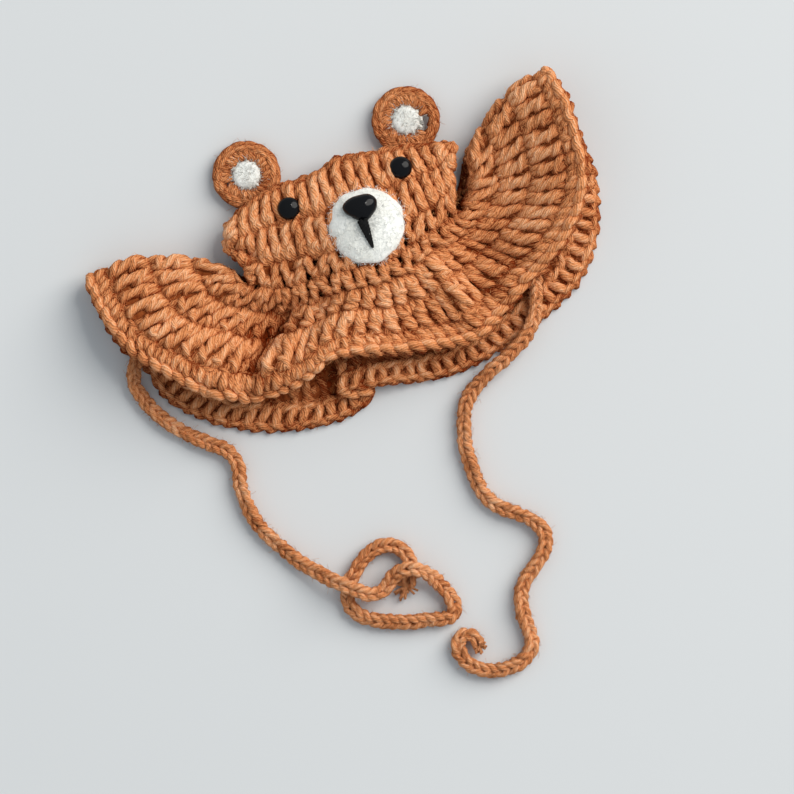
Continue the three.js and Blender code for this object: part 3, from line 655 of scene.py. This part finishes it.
# Columns: ring across, along and lift; edge across, along and lift; layers under the edge;
# bow along and lift; roll, which lowers the inner half of the brim and lifts its outer half;
# share of the crown's side that the ear opening takes
stations = np.array([
    [-1.0, 0.17, 0.4, -1.0, 0.33, 0.3, 0, 0.12, 0, 0, 0.45],
    [-0.97, 0.0, 0.5, -1.0, 0.18, 0.56, 0, 0.05, 0, 0.04, 0.24],
    [-0.91, -0.19, 0.52, -0.95, -0.12, 0.74, 0, 0, 0, 0.08, 0],
    [-0.78, -0.44, 0.52, -0.865, -0.335, 0.82, 0, 0, -0.04, 0.12, 0],
    [-0.65, -0.6, 0.54, -0.725, -0.57, 0.78, 0, 0, -0.1, 0.18, 0],
    [-0.53, -0.7, 0.58, -0.59, -0.69, 0.66, 0, 0, -0.16, 0.24, 0],
    [-0.4, -0.79, 0.66, -0.46, -0.71, 0.54, 0, 0, -0.16, 0.28, 0],
    [-0.29, -0.86, 0.74, -0.36, -0.68, 0.56, 0, 0, -0.06, 0.26, 0],
    [-0.2, -0.9, 0.82, -0.275, -0.62, 0.72, 0, 0, 0.06, 0.14, 0],
    [-0.09, -0.945, 0.88, -0.18, -0.643, 0.86, 0, 0, 0, 0.04, 0],
    [0.05, -0.985, 0.9, -0.033, -0.73, 0.84, 0, 0, -0.16, 0, 0],
    [0.2, -0.99, 0.88, 0.11, -0.785, 0.76, 0, 0, -0.2, 0, 0],
    [0.36, -0.86, 0.82, 0.26, -0.823, 0.66, 0, 0, -0.18, 0, 0],
    [0.51, -0.7, 0.75, 0.375, -0.764, 0.6, 0, 0, -0.18, 0.04, 0],
    [0.64, -0.53, 0.68, 0.525, -0.618, 0.68, 0, 0, -0.2, 0.08, 0],
    [0.745, -0.35, 0.62, 0.69, -0.465, 0.82, 0, 0, -0.2, 0.1, 0],
    [0.835, -0.12, 0.58, 0.81, -0.285, 0.96, 0, 0, -0.2, 0.1, 0.12],
    [0.91, 0.16, 0.56, 0.875, -0.055, 1.08, 0, 0, -0.2, 0.1, 0.27],
    [0.955, 0.38, 0.56, 0.895, 0.18, 1.14, 0, 0, -0.18, 0.08, 0.38],
    [0.985, 0.55, 0.54, 0.89, 0.39, 1.14, 0, 0, -0.14, 0.06, 0.46],
    [1.0, 0.64, 0.48, 0.86, 0.57, 1.02, 0, 0, -0.08, 0.02, 0.6],
    [1.0, 0.66, 0.34, 0.85, 0.62, 0.7, 0, 0, 0, 0, 0.64],
    [0.965, 0.58, 0.15, 0.86, 0.555, 0.3, 0, 0, 0, 0, 0.62],
    [0.91, 0.42, 0.02, 0.89, 0.36, 0.08, 0, 0, 0, 0, 0.5],
    [0.82, 0.2, 0, 0.904, 0.125, 0, 0, 0, 0, 0, 0.32],
    [0.73, 0.0, 0, 0.9, -0.153, 0, 0, 0, 0, 0, 0.12],
    [0.62, -0.19, 0, 0.837, -0.458, 0, 0, 0, 0, 0, 0],
    [0.5, -0.33, 0, 0.733, -0.68, 0, 0, 0, 0, 0, 0],
    [0.38, -0.42, 0, 0.61, -0.8, 0, 0, 0, 0, 0, 0],
    [0.255, -0.49, 0, 0.467, -0.88, 0, 0, 0, 0, 0, 0],
    [0.13, -0.535, 0, 0.317, -0.944, 0, 0, 0, 0, 0, 0],
    [0.04, -0.56, 0, 0.183, -0.976, 0, 0, 0, 0, 0, 0],
    [-0.04, -0.56, 0, 0.04, -0.944, 0, 0.5, 0, 0, 0, 0],
    [-0.12, -0.55, 0, -0.083, -0.893, 0, 1.5, 0, 0, 0, 0],
    [-0.2, -0.54, 0, -0.183, -0.87, 0, 2, 0, 0, 0, 0],
    [-0.255, -0.53, 0, -0.268, -0.868, 0, 1.5, 0, 0, 0, 0],
    [-0.31, -0.515, 0, -0.21, -0.903, 0, 1, 0, 0, 0, 0],
    [-0.365, -0.5, 0, -0.154, -0.924, 0, 0.5, 0, 0, 0, 0],
    [-0.42, -0.48, 0, -0.225, -0.986, 0, 0, 0, 0, 0, 0],
    [-0.49, -0.44, 0, -0.35, -1.0, 0, 0, 0, 0, 0, 0],
    [-0.58, -0.37, 0, -0.5, -0.95, 0, 0, 0, 0, 0, 0],
    [-0.69, -0.28, 0, -0.667, -0.83, 0, 0, 0, 0, 0, 0],
    [-0.8, -0.14, 0, -0.81, -0.653, 0, 0, 0, 0, 0, 0.12],
    [-0.9, 0.02, 0, -0.883, -0.48, 0, 0, 0, 0, 0, 0.3],
    [-0.96, 0.14, 0.02, -0.905, -0.32, 0, 0, 0, 0, 0, 0.37],
    [-0.99, 0.2, 0.1, -0.967, -0.125, 0, 0, 0, 0, 0, 0.46],
    [-1.0, 0.2, 0.25, -1.0, 0.14, 0.03, 0, 0.06, 0, 0, 0.46],
])
right_fold = 21  # the station where the front of the hat ends
top_edge = np.array([
    [-1.0, 0.8], [-0.78, 0.96], [-0.5, 1.03], [-0.22, 1.0],
    [0.05, 1.09], [0.4, 1.01], [0.8, 0.88], [1.0, 0.78],
])
print("stations round the hat:", len(stations))

# %% The ring, the edge and the top as smooth lines
station_count = len(stations)
station_steps = 24
fine = np.arange(station_count * station_steps + 1) / station_steps  # counted in stations
lift = np.array([0, 0, wall / 2])
ring_line = centripetal(
    stations[:, :3] * (ring_half_width, ring_drop, pocket_height) + lift, fine, True
)
edge_line = centripetal(
    stations[:, 3:6] * (brim_half_span, brim_drop, ruffle_height) + lift, fine, True
)
bow_line = centripetal(stations[:, [10, 7, 8]] * (1, brim_drop, ruffle_height), fine, True)
layer_line = centripetal(stations[:, [6, 0, 9]], fine, True)

# The deep fold left of the face lies a little further left, where the yarn pulls it
fold_slide = 0.9  # stations
slid = fine + fold_slide * np.interp(fine, [1, 4, 7.5, 10.5], [0, 1, 1, 0])
for line in (ring_line, edge_line, bow_line, layer_line):
    line[:, 2] = np.interp(slid, fine, line[:, 2])

# The right wing bows up to the crown's end and closes the gap beside the face. Its tip is blunt
wing_bow = 7 * mm
bow_line[:, 1] += wing_bow * np.interp(fine, [17, 19.5, 22, 24], [0, 1, 1, 0])
tip_press = np.array([2.5, -4.5, 0]) * mm
edge_line += tip_press * np.interp(fine, [18.5, 20, 21.2, 22.5], [0, 1, 1, 0])[:, None]

top_corners = np.column_stack([top_edge * (top_half_width, top_along), np.zeros(len(top_edge))])
top_line = centripetal(top_corners, np.linspace(0, len(top_edge) - 1, 200), False)


def on_line(line, place):
    """Value of a line at places round the hat, which are counted in stations."""
    wrapped = np.mod(place, station_count)
    if line.ndim == 1:
        return np.interp(wrapped, fine, line)
    return np.stack([np.interp(wrapped, fine, line[:, k]) for k in range(3)], axis=-1)


# The ridge right of the deep fold: its line across and along, half width and rise
ridge = np.array([[-32, -22.5], [-42, -31], [-51, -37], [-65, -40], [-77, -41]]) * mm
folds = [(ridge, 5.5 * mm, 7 * mm)]
fold_floor = 6.5 * mm  # the front of the brim stays above its back
# Creases beside the face, where the openings for the ears begin
creases = [
    (np.array([[54, 13], [52, 6], [47, 0], [42, -5]]) * mm, 3.2 * mm, -4.5 * mm),
    (np.array([[-53, 15.5], [-45.5, 8.5]]) * mm, 2.2 * mm, -5 * mm),
    (np.array([[-54, 10.5], [-45.5, 3.5]]) * mm, 3 * mm, 1.5 * mm),
]


def fold_rise(point, shapes):
    """How much soft folds lift each point; a fold is a line with a half width and a height."""
    rise = 0.0
    for line, half_width, height in shapes:
        offsets = []
        for start, end in zip(line[:-1], line[1:]):
            span = end - start
            share = (point[..., :2] - start) @ span / (span @ span)
            nearest = start + np.clip(share, 0, 1)[..., None] * span
            offsets.append(np.linalg.norm(point[..., :2] - nearest, axis=-1))
        rise = rise + height * np.exp(-((np.min(offsets, axis=0) / half_width) ** 2))
    return rise


def brim_middle(place, out):
    """The middle of the brim's fabric: out is 0 at the ring and 1 at the edge."""
    ring = on_line(ring_line, place)
    edge = on_line(edge_line, place)
    bow = on_line(bow_line, place)
    bend = 4 * out * (1 - out)
    point = ring + (edge - ring) * out[..., None]
    point[..., 1] += bow[..., 1] * bend
    layers = on_line(layer_line, place)
    roll = -np.sin(math.tau * out) * ruffle_height * layers[..., 2]
    pleat = layers[..., 0] * layer_step * np.maximum(out, 0) ** pleat_rise
    point[..., 2] += bow[..., 2] * bend + roll + pleat
    in_front = np.mod(place, station_count) < right_fold
    point[..., 2] += np.where(in_front, fold_rise(point, folds) * np.minimum(4 * out, 1), 0.0)
    point[..., 2] = np.maximum(point[..., 2], np.where(in_front, fold_floor, 0.0))
    return point


side_step = 0.12  # stations to each side, between which the fabric's slope is taken
crown_side_step = 0.3
row_step = 0.02  # the same up and down, as a share


def brim_place(place, out, height):
    """A point of the brim, which lies height above the middle of its fabric."""
    across = brim_middle(place + side_step, out) - brim_middle(place - side_step, out)
    outward = brim_middle(place, out + row_step) - brim_middle(place, out - row_step)
    normal = unit(np.cross(outward, across))
    return brim_middle(place, out) + normal * height[..., None]


def crown_middle(place, up):
    """The middle of the crown's fabric: up is 0 at the ring and 1 at the closed top."""
    base = on_line(ring_line, place)
    wrapped = np.mod(place, station_count)
    front = (wrapped > 0) & (wrapped < right_fold)
    across = np.clip(base[..., 0] / ring_half_width, -1, 1) * top_half_width
    side = np.where(front, 1.0, -1.0)
    top = np.stack([
        across,
        np.interp(across, top_line[:, 0], top_line[:, 1]),
        top_lift + side * layer_step / 2,
    ], axis=-1)
    up = np.clip(up, 0.0, 1.08)
    bulge = np.where(front, front_round, back_round)
    right_end = np.clip(base[..., 0] / ring_half_width * 4 - 3, 0, 1)
    tuck = right_tuck * right_end * np.sin(np.clip(up, 0, 1) * math.pi)
    return np.stack([
        base[..., 0] + (top[..., 0] - base[..., 0]) * up**side_round - tuck,
        base[..., 1] + (top[..., 1] - base[..., 1]) * up,
        base[..., 2] + (top[..., 2] - base[..., 2]) * up**bulge,
    ], axis=-1)


def crown_place(place, up, height):
    """A point of the crown, which lies height above the middle of its fabric."""
    up = np.clip(up, 0.03, 1.04)
    right = crown_middle(place + crown_side_step, up)
    left = crown_middle(place - crown_side_step, up)
    upward = crown_middle(place, up + row_step) - crown_middle(place, up - row_step)
    normal = unit(np.cross(right - left, upward))
    return crown_middle(place, up) + normal * height[..., None]


yarn_room = 0.12  # share of the crown by which its stitches stand back from an opening
least_opening = 0.03


def opening(place):
    """The share of the crown's side that stays open, with room for the yarn's thickness."""
    share = on_line(bow_line[:, 0], place)
    room = np.where(np.mod(place, station_count) < right_fold + 1, yarn_room, 0.0)
    return np.where(share > least_opening, share + room, 0.0)


# %% [markdown]
# ## Rows of stitches
# A row follows the ring. Its stitches are evenly spaced along the real length of the fabric,
# so a frilled row takes more of them than the row before, which is how a crocheted brim gets
# its ruffles.

# %% Space the stitches of a row
def hat_place(place, share, height):
    """A point of the hat: share runs from -1 at the top over 0 at the ring to 1 at the edge."""
    brim = brim_place(place, np.maximum(share, 0), height)
    crown = crown_place(place, np.maximum(-share, 0), height)
    point = np.where((share < 0)[..., None], crown, brim)
    in_front = np.mod(place, station_count) < right_fold
    point[..., 2] += np.where(in_front, fold_rise(point, creases), 0.0)
    return point


def row_places(share):
    """Turns a share of a row's real length into a place counted in stations."""
    line = hat_place(fine, share(fine), np.zeros(len(fine)))
    steps = np.linalg.norm(np.diff(line, axis=0), axis=1)
    length = np.concatenate([[0], np.cumsum(steps)])
    total = length[-1]

    def place(along):
        turns = np.floor(along)
        return np.interp((along - turns) * total, length, fine) + turns * station_count

    return place, total


def work_fabric(low, high, width, stitch, lean=0.0, skip=None, thickness=1.0):
    """One row between two lines on the hat. A line turns a place into a share."""
    place, total = row_places(lambda where: (low(where) + high(where)) / 2)
    count = 2 * round(total / width / 2)

    def put(along, up, out):
        where = place(along)
        foot = low(where)
        return hat_place(where, foot + (high(where) - foot) * up, out)

    gone = None if skip is None else (lambda along: skip(place(along)))
    print(f"row of {count} stitches, {total / mm:.0f} mm long")
    return work_row(put, count, stitch, lean=lean, skip=gone, thickness=thickness)


def row_line(wings, middle):
    """A line along the hat from its shares at the wings and at the middle of the front."""
    def line(place):
        wrapped = np.mod(place, station_count)
        nearness = np.interp(wrapped, [1.5, 6.5, 13.0, 17.0], [0.0, 1.0, 1.0, 0.0])
        return wings + (middle - wings) * nearness
    return line


# %% [markdown]
# ## Inside the fabric
# Between two stitches real yarn shows more yarn, not the table. A thin band inside the fabric
# fills those gaps, and its dark colour is painted shade for the depth there. It is a torus
# whose rings are moved on to the fabric, so it is closed all round.

# %% Yarn inside the fabric
# Painted shade: the band's dark colour stands for the shade deep between the stitches
shaded_inner_yarn, tree, shader = new_material("shaded_inner_yarn", 1.0, Specular_IOR_Level=0.0)
place = object_coordinates(tree)
patches = noise(tree, place, 500.0, 3.0)
depth = ramp(tree, patches, (0.3, (0.16, 0.03, 0.008)), (0.8, (0.4, 0.11, 0.03)))
tree.links.new(depth, shader.inputs["Base Color"])
tree.links.new(bump(tree, noise(tree, place, 700.0, 4.0), 0.6 * mm), shader.inputs["Normal"])
lining_half = 0.5 * mm
lining_step = 4  # fine places from one ring of the band to the next


def shape(piece, form):
    """Moves each point of the piece with the function form, which takes and gives an array."""
    points = np.empty(len(piece.data.vertices) * 3)
    piece.data.vertices.foreach_get("co", points)
    piece.data.vertices.foreach_set("co", form(points.reshape(-1, 3)).reshape(-1))
    piece.data.update()


def line_fabric(name, low, high, rows):
    """A closed band between two lines on the hat, thinner than the yarn round it."""
    around = fine[:-1:lining_step]
    share = np.concatenate([np.linspace(0, 1, rows), np.linspace(1, 0, rows)])
    height = np.where(np.arange(2 * rows) < rows, lining_half, -lining_half)
    where = around[:, None].repeat(2 * rows, axis=1)
    across = low(where) + (high(where) - low(where)) * share
    grid = hat_place(where, across, np.broadcast_to(height, where.shape))
    bpy.ops.object.select_all(action="DESELECT")
    bpy.ops.mesh.primitive_torus_add(major_segments=len(around), minor_segments=2 * rows)
    band = bpy.context.object
    band.name = name
    shape(band, lambda points: grid.reshape(-1, 3))
    bpy.ops.object.mode_set(mode="EDIT")
    bpy.ops.mesh.select_all(action="SELECT")
    bpy.ops.mesh.normals_make_consistent(inside=False)
    bpy.ops.object.mode_set(mode="OBJECT")
    bpy.ops.object.shade_smooth()
    band.data.materials.append(shaded_inner_yarn)
    wear(band, "caramel_yarn")
    print(name, len(band.data.polygons), "faces")


# %% [markdown]
# ## The brim
# Three rows of double crochet and a border of short stitches, about 60 mm wide in all. In the
# middle of the front it is half as wide: the first row climbs on to the face there, and the
# others stand steeply. The brim is split by row, so that no piece has too many triangles.

# %% Work the brim
first_stitch_width = 5.4 * mm
stitch_width = 6.9 * mm
border_stitch_width = 6.0 * mm
opening_edge = 0.035  # share of the brim that its chain takes along an opening
ring_climb = row_line(wings=0.0, middle=-0.16)


def brim_start(place):
    """The foot of the first row, which stands back from the openings for the ears."""
    return ring_climb(place) + np.where(opening(place) > 0, opening_edge, 0.0)


brim_second = row_line(wings=0.28, middle=0.02)
brim_third = row_line(wings=0.56, middle=0.33)
border_start = row_line(wings=0.845, middle=0.72)
border_end = row_line(wings=0.985, middle=0.985)
ring_row = row_line(wings=opening_edge, middle=opening_edge)
ring_top = row_line(wings=0.055, middle=0.055)

inner_rows = work_fabric(
    brim_start, brim_second, first_stitch_width, double_crochet, lean=0.45, thickness=0.82
)
inner_rows += work_fabric(brim_second, brim_third, stitch_width, double_crochet, lean=0.06)
inner_rows += work_fabric(
    ring_row, ring_top, stitch_width, edge_chain, skip=lambda place: opening(place) == 0,
    thickness=0.7
)
outer_rows = work_fabric(brim_third, border_start, stitch_width, double_crochet)
outer_rows += work_fabric(border_start, border_end, border_stitch_width, border_crochet)
brim_inner = yarn_object("brim_inner_rows", inner_rows, caramel_yarn)
wear(brim_inner, "caramel_yarn", "brim")
brim_outer = yarn_object("brim_outer_rows", outer_rows, caramel_yarn)
wear(brim_outer, "caramel_yarn", "brim")
brim_fuzz = yarn_object("brim_fuzz", fuzz(inner_rows, 3500) + fuzz(outer_rows, 5000), loose_fibre)
wear(brim_fuzz, "caramel_yarn")
lining_start = row_line(wings=0.05, middle=0.12)
lining_end = row_line(wings=0.96, middle=0.96)
line_fabric("brim_lining", lining_start, lining_end, 20)

# %% [markdown]
# ## The crown
# The crown has a short row above the brim's first one, with small holes between pairs of
# stitches, and two tall rows above it. At each side the fabric starts higher, which leaves the
# openings for the wearer's ears. The short row has no lining, so its holes look dark.

# %% Work the crown
crown_stitch_width = 5.6 * mm


def crown_line(share, middle):
    plain = row_line(wings=-share, middle=-middle)
    return lambda place: np.minimum(plain(place), -opening(place))


crown_rows = []
for low, middle, high in ((0.0, 0.17, 0.345), (0.345, 0.345, 0.69), (0.69, 0.69, 0.99)):
    short = low == 0
    too_low = high - 0.3 * (high - low)  # an opening above this leaves a stitch no room
    crown_rows += work_fabric(
        crown_line(low, middle), crown_line(high, high), crown_stitch_width, double_crochet,
        lean=0.5 if short else 0.14, thickness=0.8 if short else 1.0,
        skip=lambda place: opening(place) > too_low,
    )
crown = yarn_object("crown_rows", crown_rows, caramel_yarn)
wear(crown, "caramel_yarn", "crown")
crown_fuzz = yarn_object("crown_fuzz", fuzz(crown_rows, 3500), loose_fibre)
wear(crown_fuzz, "caramel_yarn")
crown_top = row_line(wings=-0.97, middle=-0.97)
line_fabric("crown_lining", crown_line(0.01, 0.4), crown_top, 14)

# %% [markdown]
# ## The muzzle
# A round of cream felt, slightly uneven, with short fibres that stand out of its face and its
# rim. The fibres are swept like the yarn, but much thinner.

# %% Felted muzzle
felt, tree, shader = new_material("cream_felt", 0.9, Sheen_Weight=0.4, Sheen_Roughness=0.5)
place = object_coordinates(tree)
felt_patches = noise(tree, place, 90.0, 4.0)
felt_colour = ramp(tree, felt_patches, (0.3, (0.8, 0.79, 0.73)), (0.7, (0.9, 0.9, 0.87)))
tree.links.new(felt_colour, shader.inputs["Base Color"])
felt_relief = noise(tree, place, 1300.0, 6.0)
tree.links.new(bump(tree, felt_relief, 0.25 * mm), shader.inputs["Normal"])

low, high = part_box("muzzle")
muzzle_middle = np.array(((low + high) / 2)[:2])


def copy_of_node(node, name, finish, cuts):
    """A smooth copy of a frame node, with more points."""
    bpy.ops.object.select_all(action="DESELECT")
    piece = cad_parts[node].copy()
    piece.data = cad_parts[node].data.copy()
    piece.name = name
    bpy.context.scene.collection.objects.link(piece)
    bpy.context.view_layer.objects.active = piece
    piece.select_set(True)
    bpy.ops.object.mode_set(mode="EDIT")
    bpy.ops.mesh.select_all(action="SELECT")
    bpy.ops.mesh.remove_doubles(threshold=0.01 * mm)
    bpy.ops.object.mode_set(mode="OBJECT")
    modifier = piece.modifiers.new("smooth", "SUBSURF")
    modifier.levels = cuts
    modifier.render_levels = cuts
    bpy.ops.object.modifier_apply(modifier="smooth")
    piece.data.materials.clear()
    piece.data.materials.append(finish)
    bpy.ops.object.shade_smooth()
    return piece


muzzle = copy_of_node("muzzle", "muzzle_felt", felt, 2)


def uneven(points):
    """Pulls the rim of the muzzle in and out a little, as felt is cut by hand."""
    offset = points[:, :2] - muzzle_middle
    angle = np.arctan2(offset[:, 1], offset[:, 0])
    pull = 1 + 0.018 * np.sin(3 * angle + 1.0)
    pull = pull + 0.012 * np.sin(7 * angle) + 0.01 * np.sin(11 * angle)
    flat = muzzle_middle + offset * pull[:, None]
    return np.column_stack([flat, points[:, 2]])


shape(muzzle, uneven)
wear(muzzle, "cream_felt", "muzzle")

felt_fibre_count = 5000
vertices = muzzle.data.vertices
pick = draw.integers(0, len(vertices), felt_fibre_count)
starts = np.array([vertices[k].co for k in pick])
normals = np.array([vertices[k].normal for k in pick])
upper = normals[:, 2] > -0.3  # not under the felt
starts, normals = starts[upper], normals[upper]
starts += draw.normal(0.0, 0.5, starts.shape) * mm
headings = unit(np.cross(normals, draw.normal(0.0, 1.0, normals.shape)))
lengths = draw.uniform(0.8, 2.4, len(starts)) * mm
felt_fibre, tree, shader = new_material("felt_fibre", 0.8)
shader.inputs["Base Color"].default_value = (0.94, 0.94, 0.91, 1)
muzzle_fuzz = yarn_object(
    "muzzle_fibres", [fibres_from(starts, headings, normals, lengths, 0.5 * mm)], felt_fibre
)
wear(muzzle_fuzz, "cream_felt")

# %% [markdown]
# ## The ears
# Each ear is a flat round worked from the middle: a cream centre of a few stitches over a pad, a
# round of caramel stitches that stand like spokes, and an edge of long loops that run round it.
# One gap between two spokes is wider than the others, and on the right ear it stays open.

# %% Work the ears
ear_radius = 14.8 * mm
cream_radius = 7.0 * mm
spoke_end = 11.4 * mm
ear_spokes = 14
cream_lift = 1.2 * mm
ear_edge_stitches = 15
centre_stitches = 11
ear_flatness = 0.6  # the rounds of an ear are flatter than the brim's rows
edge_inset = 1.2 * mm  # the edge's loops reach this far past their round
spoke_stitch = [
    (loop, [(-0.3, -0.05, 0.2), (-0.27, 0.25, 1.5), (-0.2, 0.6, 1.7), (-0.24, 1.0, 0.6)]),
    (loop, [(0.22, -0.05, 0.2), (0.25, 0.25, 1.3), (0.3, 0.6, 1.6), (0.24, 1.0, 0.6)]),
    (loop, [(-0.1, 0.0, -1.0), (0.0, 0.5, -1.6), (0.1, 1.0, -1.0)]),
]
cream_stitch = [
    (1.1 * mm, [(-0.2, 0.0, 1.7), (-0.1, 0.3, 2.1), (0.0, 0.65, 1.9), (0.0, 1.0, 0.9)]),
]
long_loop_edge = [
    (loop, [(-0.85, 0.2, -0.4), (-0.5, 0.3, 1.3), (0.0, 0.45, 1.8),
            (0.5, 0.65, 1.2), (0.9, 0.8, -0.6)]),
    (loop, [(-0.7, 0.75, -0.2), (-0.35, 0.85, 0.8), (0.1, 0.95, 0.9),
            (0.5, 0.92, 0.4), (0.8, 0.75, -0.6)]),
    (loop, [(-0.7, 0.3, -1.4), (0.0, 0.5, -1.8), (0.7, 0.7, -1.4)]),
]


def work_ear(name, gap_angle, gap_half):
    """An ear whose wide gap lies at gap_angle and spans gap_half radians to each side."""
    low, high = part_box(f"{name}_rim")
    centre = (low + high) / 2

    def round_place(inner, outer, start=0.0, turn=math.tau):
        def place(along, up, out):
            angle = start + along * turn
            radius = inner + (outer - inner) * up
            return np.stack([
                centre.x + radius * np.cos(angle),
                centre.y + radius * np.sin(angle),
                centre.z + out * ear_flatness,
            ], axis=-1)
        return place

    spokes = round_place(cream_radius, spoke_end, gap_angle + gap_half, math.tau - 2 * gap_half)
    rim = work_row(spokes, ear_spokes, spoke_stitch)
    edge = round_place(spoke_end - edge_inset, ear_radius - edge_inset)
    rim += work_row(edge, ear_edge_stitches, long_loop_edge)
    rim += fuzz(rim, 700)
    wear(yarn_object(f"{name}_rounds", rim, caramel_yarn), "caramel_yarn", f"{name}_rim")
    pad = copy_of_node(f"{name}_centre", f"{name}_pad", felt, 1)
    shape(pad, lambda points: points + (0, 0, cream_lift))
    wear(pad, "cream_yarn")
    middle = round_place(1.2 * mm, cream_radius + 0.3 * mm, gap_angle)
    cream = work_row(middle, centre_stitches, cream_stitch)
    cream += fuzz(cream, 1500, 1.2 * mm)
    wear(yarn_object(f"{name}_cream", cream, cream_yarn), "cream_yarn", f"{name}_centre")


work_ear("ear_left", math.radians(184), 0.1)
work_ear("ear_right", math.radians(-29), 0.48)

# %% [markdown]
# ## Eyes, nose and mouth
# The eyes are black plastic domes and the nose is a moulded rounded triangle. Each starts as
# a sphere, which a formula flattens at the back and shapes. The mouth is one stitch of black
# thread, thick under the nose and thin at its end, made of four twisted strands.

# %% Black plastic
plastic, tree, shader = new_material("black_plastic", 0.1, Specular_IOR_Level=0.16)
shader.inputs["Base Color"].default_value = (0.004, 0.004, 0.005, 1)


dome_segments = 48
dome_rings = 32


def add_dome(name, node, form):
    """A sphere of radius 1 that form shapes round the middle of the node's base."""
    low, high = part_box(node)
    middle = (low + high) / 2
    bpy.ops.object.select_all(action="DESELECT")
    bpy.ops.mesh.primitive_uv_sphere_add(segments=dome_segments, ring_count=dome_rings, radius=1)
    dome = bpy.context.object
    dome.name = name
    shape(dome, lambda points: form(points) + (middle.x, middle.y, low.z))
    bpy.ops.object.shade_smooth()
    dome.data.materials.append(plastic)
    wear(dome, "black_plastic", node)
    print(name, len(dome.data.polygons), "faces")


eye_stands = 0.8 * mm  # the dome stands off the yarn, which its solid sinks into


def eye_form(node):
    """The form of one eye: a high dome over a shallow back, as wide as its node."""
    low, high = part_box(node)
    radius = (high.x - low.x) / 2
    rise = high.z - low.z

    def form(points):
        height = points[:, 2:]
        up = np.where(height > 0, 0.35 + 0.65 * height, 0.35 + 0.35 * height)
        flat = np.where(height > 0, 1.0, 0.97)
        return np.hstack([points[:, :2] * radius * flat, up * rise + eye_stands * (height > 0)])
    return form


for side in ("left", "right"):
    add_dome(f"eye_{side}_dome", f"eye_{side}", eye_form(f"eye_{side}"))

# The nose's outline from its middle: left corner, over the top, right corner and lower tip
nose_outline = np.array([
    [-7.3, 3.4], [-3.7, 5.6], [1.2, 5.7], [5.6, 4.6], [7.7, 1.4], [6.7, -1.9],
    [4.2, -4.2], [1.2, -5.9], [-1.6, -5.5], [-4.6, -2.9], [-7.1, 0.3],
]) * mm


def nose_form(points):
    """The nose's rounded triangle, domed in front and flat behind."""
    low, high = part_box("nose")
    rise = high.z - low.z
    corners = np.column_stack([nose_outline, np.zeros(len(nose_outline))])
    rim = centripetal(corners, np.linspace(0, len(corners), 361), True)
    rim_angle = np.arctan2(rim[:, 1], rim[:, 0])
    order = np.argsort(rim_angle)
    reach = np.linalg.norm(rim[order, :2], axis=1)
    angle = np.arctan2(points[:, 1], points[:, 0])
    radius = np.interp(angle, rim_angle[order], reach, period=math.tau)
    flat = points[:, :2] * radius[:, None]
    z = points[:, 2]
    height = (0.3 + np.where(z > 0, 0.7 * np.maximum(z, 0) ** 0.85, 0.3 * z)) * rise
    return np.column_stack([flat, height])


add_dome("nose_cap", "nose", nose_form)

# %% Mouth stitch
low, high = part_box("mouth_stitch")
mouth_top = np.array([low.x + 1.8 * mm, high.y + 1.2 * mm, high.z - 0.2 * mm])
mouth_end = np.array([low.x + 2.0 * mm, low.y - 0.4 * mm, high.z - 0.8 * mm])
thread_strands = 4
thread_turns = 2.2
shares = np.linspace(0, 1, 36)
bundles = []
for strand in range(thread_strands):
    angle = (strand / thread_strands + shares * thread_turns) * math.tau
    spread = 1.35 * mm * (1 - shares) ** 0.7 + 0.15 * mm
    line = mouth_top + (mouth_end - mouth_top) * shares[:, None]
    line[:, 0] += np.cos(angle) * spread
    line[:, 2] += np.sin(angle) * spread * 0.6
    thickness = (1.0 - 0.6 * shares) * mm
    bundles.append(sweep(line[None], thickness[None], 8))
mouth = yarn_object("mouth_thread", bundles, black_thread)
wear(mouth, "black_thread", "mouth_stitch")

# %% [markdown]
# ## The table and the light
# A white table, one large soft light from the right, a small lamp that sharpens the shine of
# the plastic, and a pale room. The hat's shadows fall softly to the left and below.

# %% Table, light and room
table_drop = 0.3 * mm
bpy.ops.mesh.primitive_plane_add(size=8, location=(0, 0, -table_drop))
table = bpy.context.object
table.name = "table"
table_white, tree, shader = new_material("table_white", 0.55)
shader.inputs["Base Color"].default_value = (0.64, 0.65, 0.66, 1)
table.data.materials.append(table_white)


def add_light(name, energy, width, length, location, target, colour):
    bpy.ops.object.light_add(type="AREA", location=location)
    light = bpy.context.object
    light.name = name
    light.data.shape = "ELLIPSE"
    light.data.energy = energy
    light.data.size = width
    light.data.size_y = length
    light.data.color = colour
    away = Vector(target) - Vector(location)
    light.rotation_euler = away.to_track_quat("-Z", "Y").to_euler()


hat_centre = (0.0, -0.06, 0.0)
# Watts, width, length, place, target and colour
add_light("window", 214, 3.4, 4.8, (3.3, 0.9, 2.85), hat_centre, (1.0, 0.965, 0.91))
add_light("lamp", 5, 0.12, 0.26, (1.1, 0.9, 2.5), hat_centre, (1.0, 0.97, 0.92))
world = bpy.data.worlds.new("room")
bpy.context.scene.world = world
world.use_nodes = True
background = world.node_tree.nodes["Background"]
background.inputs["Color"].default_value = (0.85, 0.94, 1.0, 1)
background.inputs["Strength"].default_value = 0.53
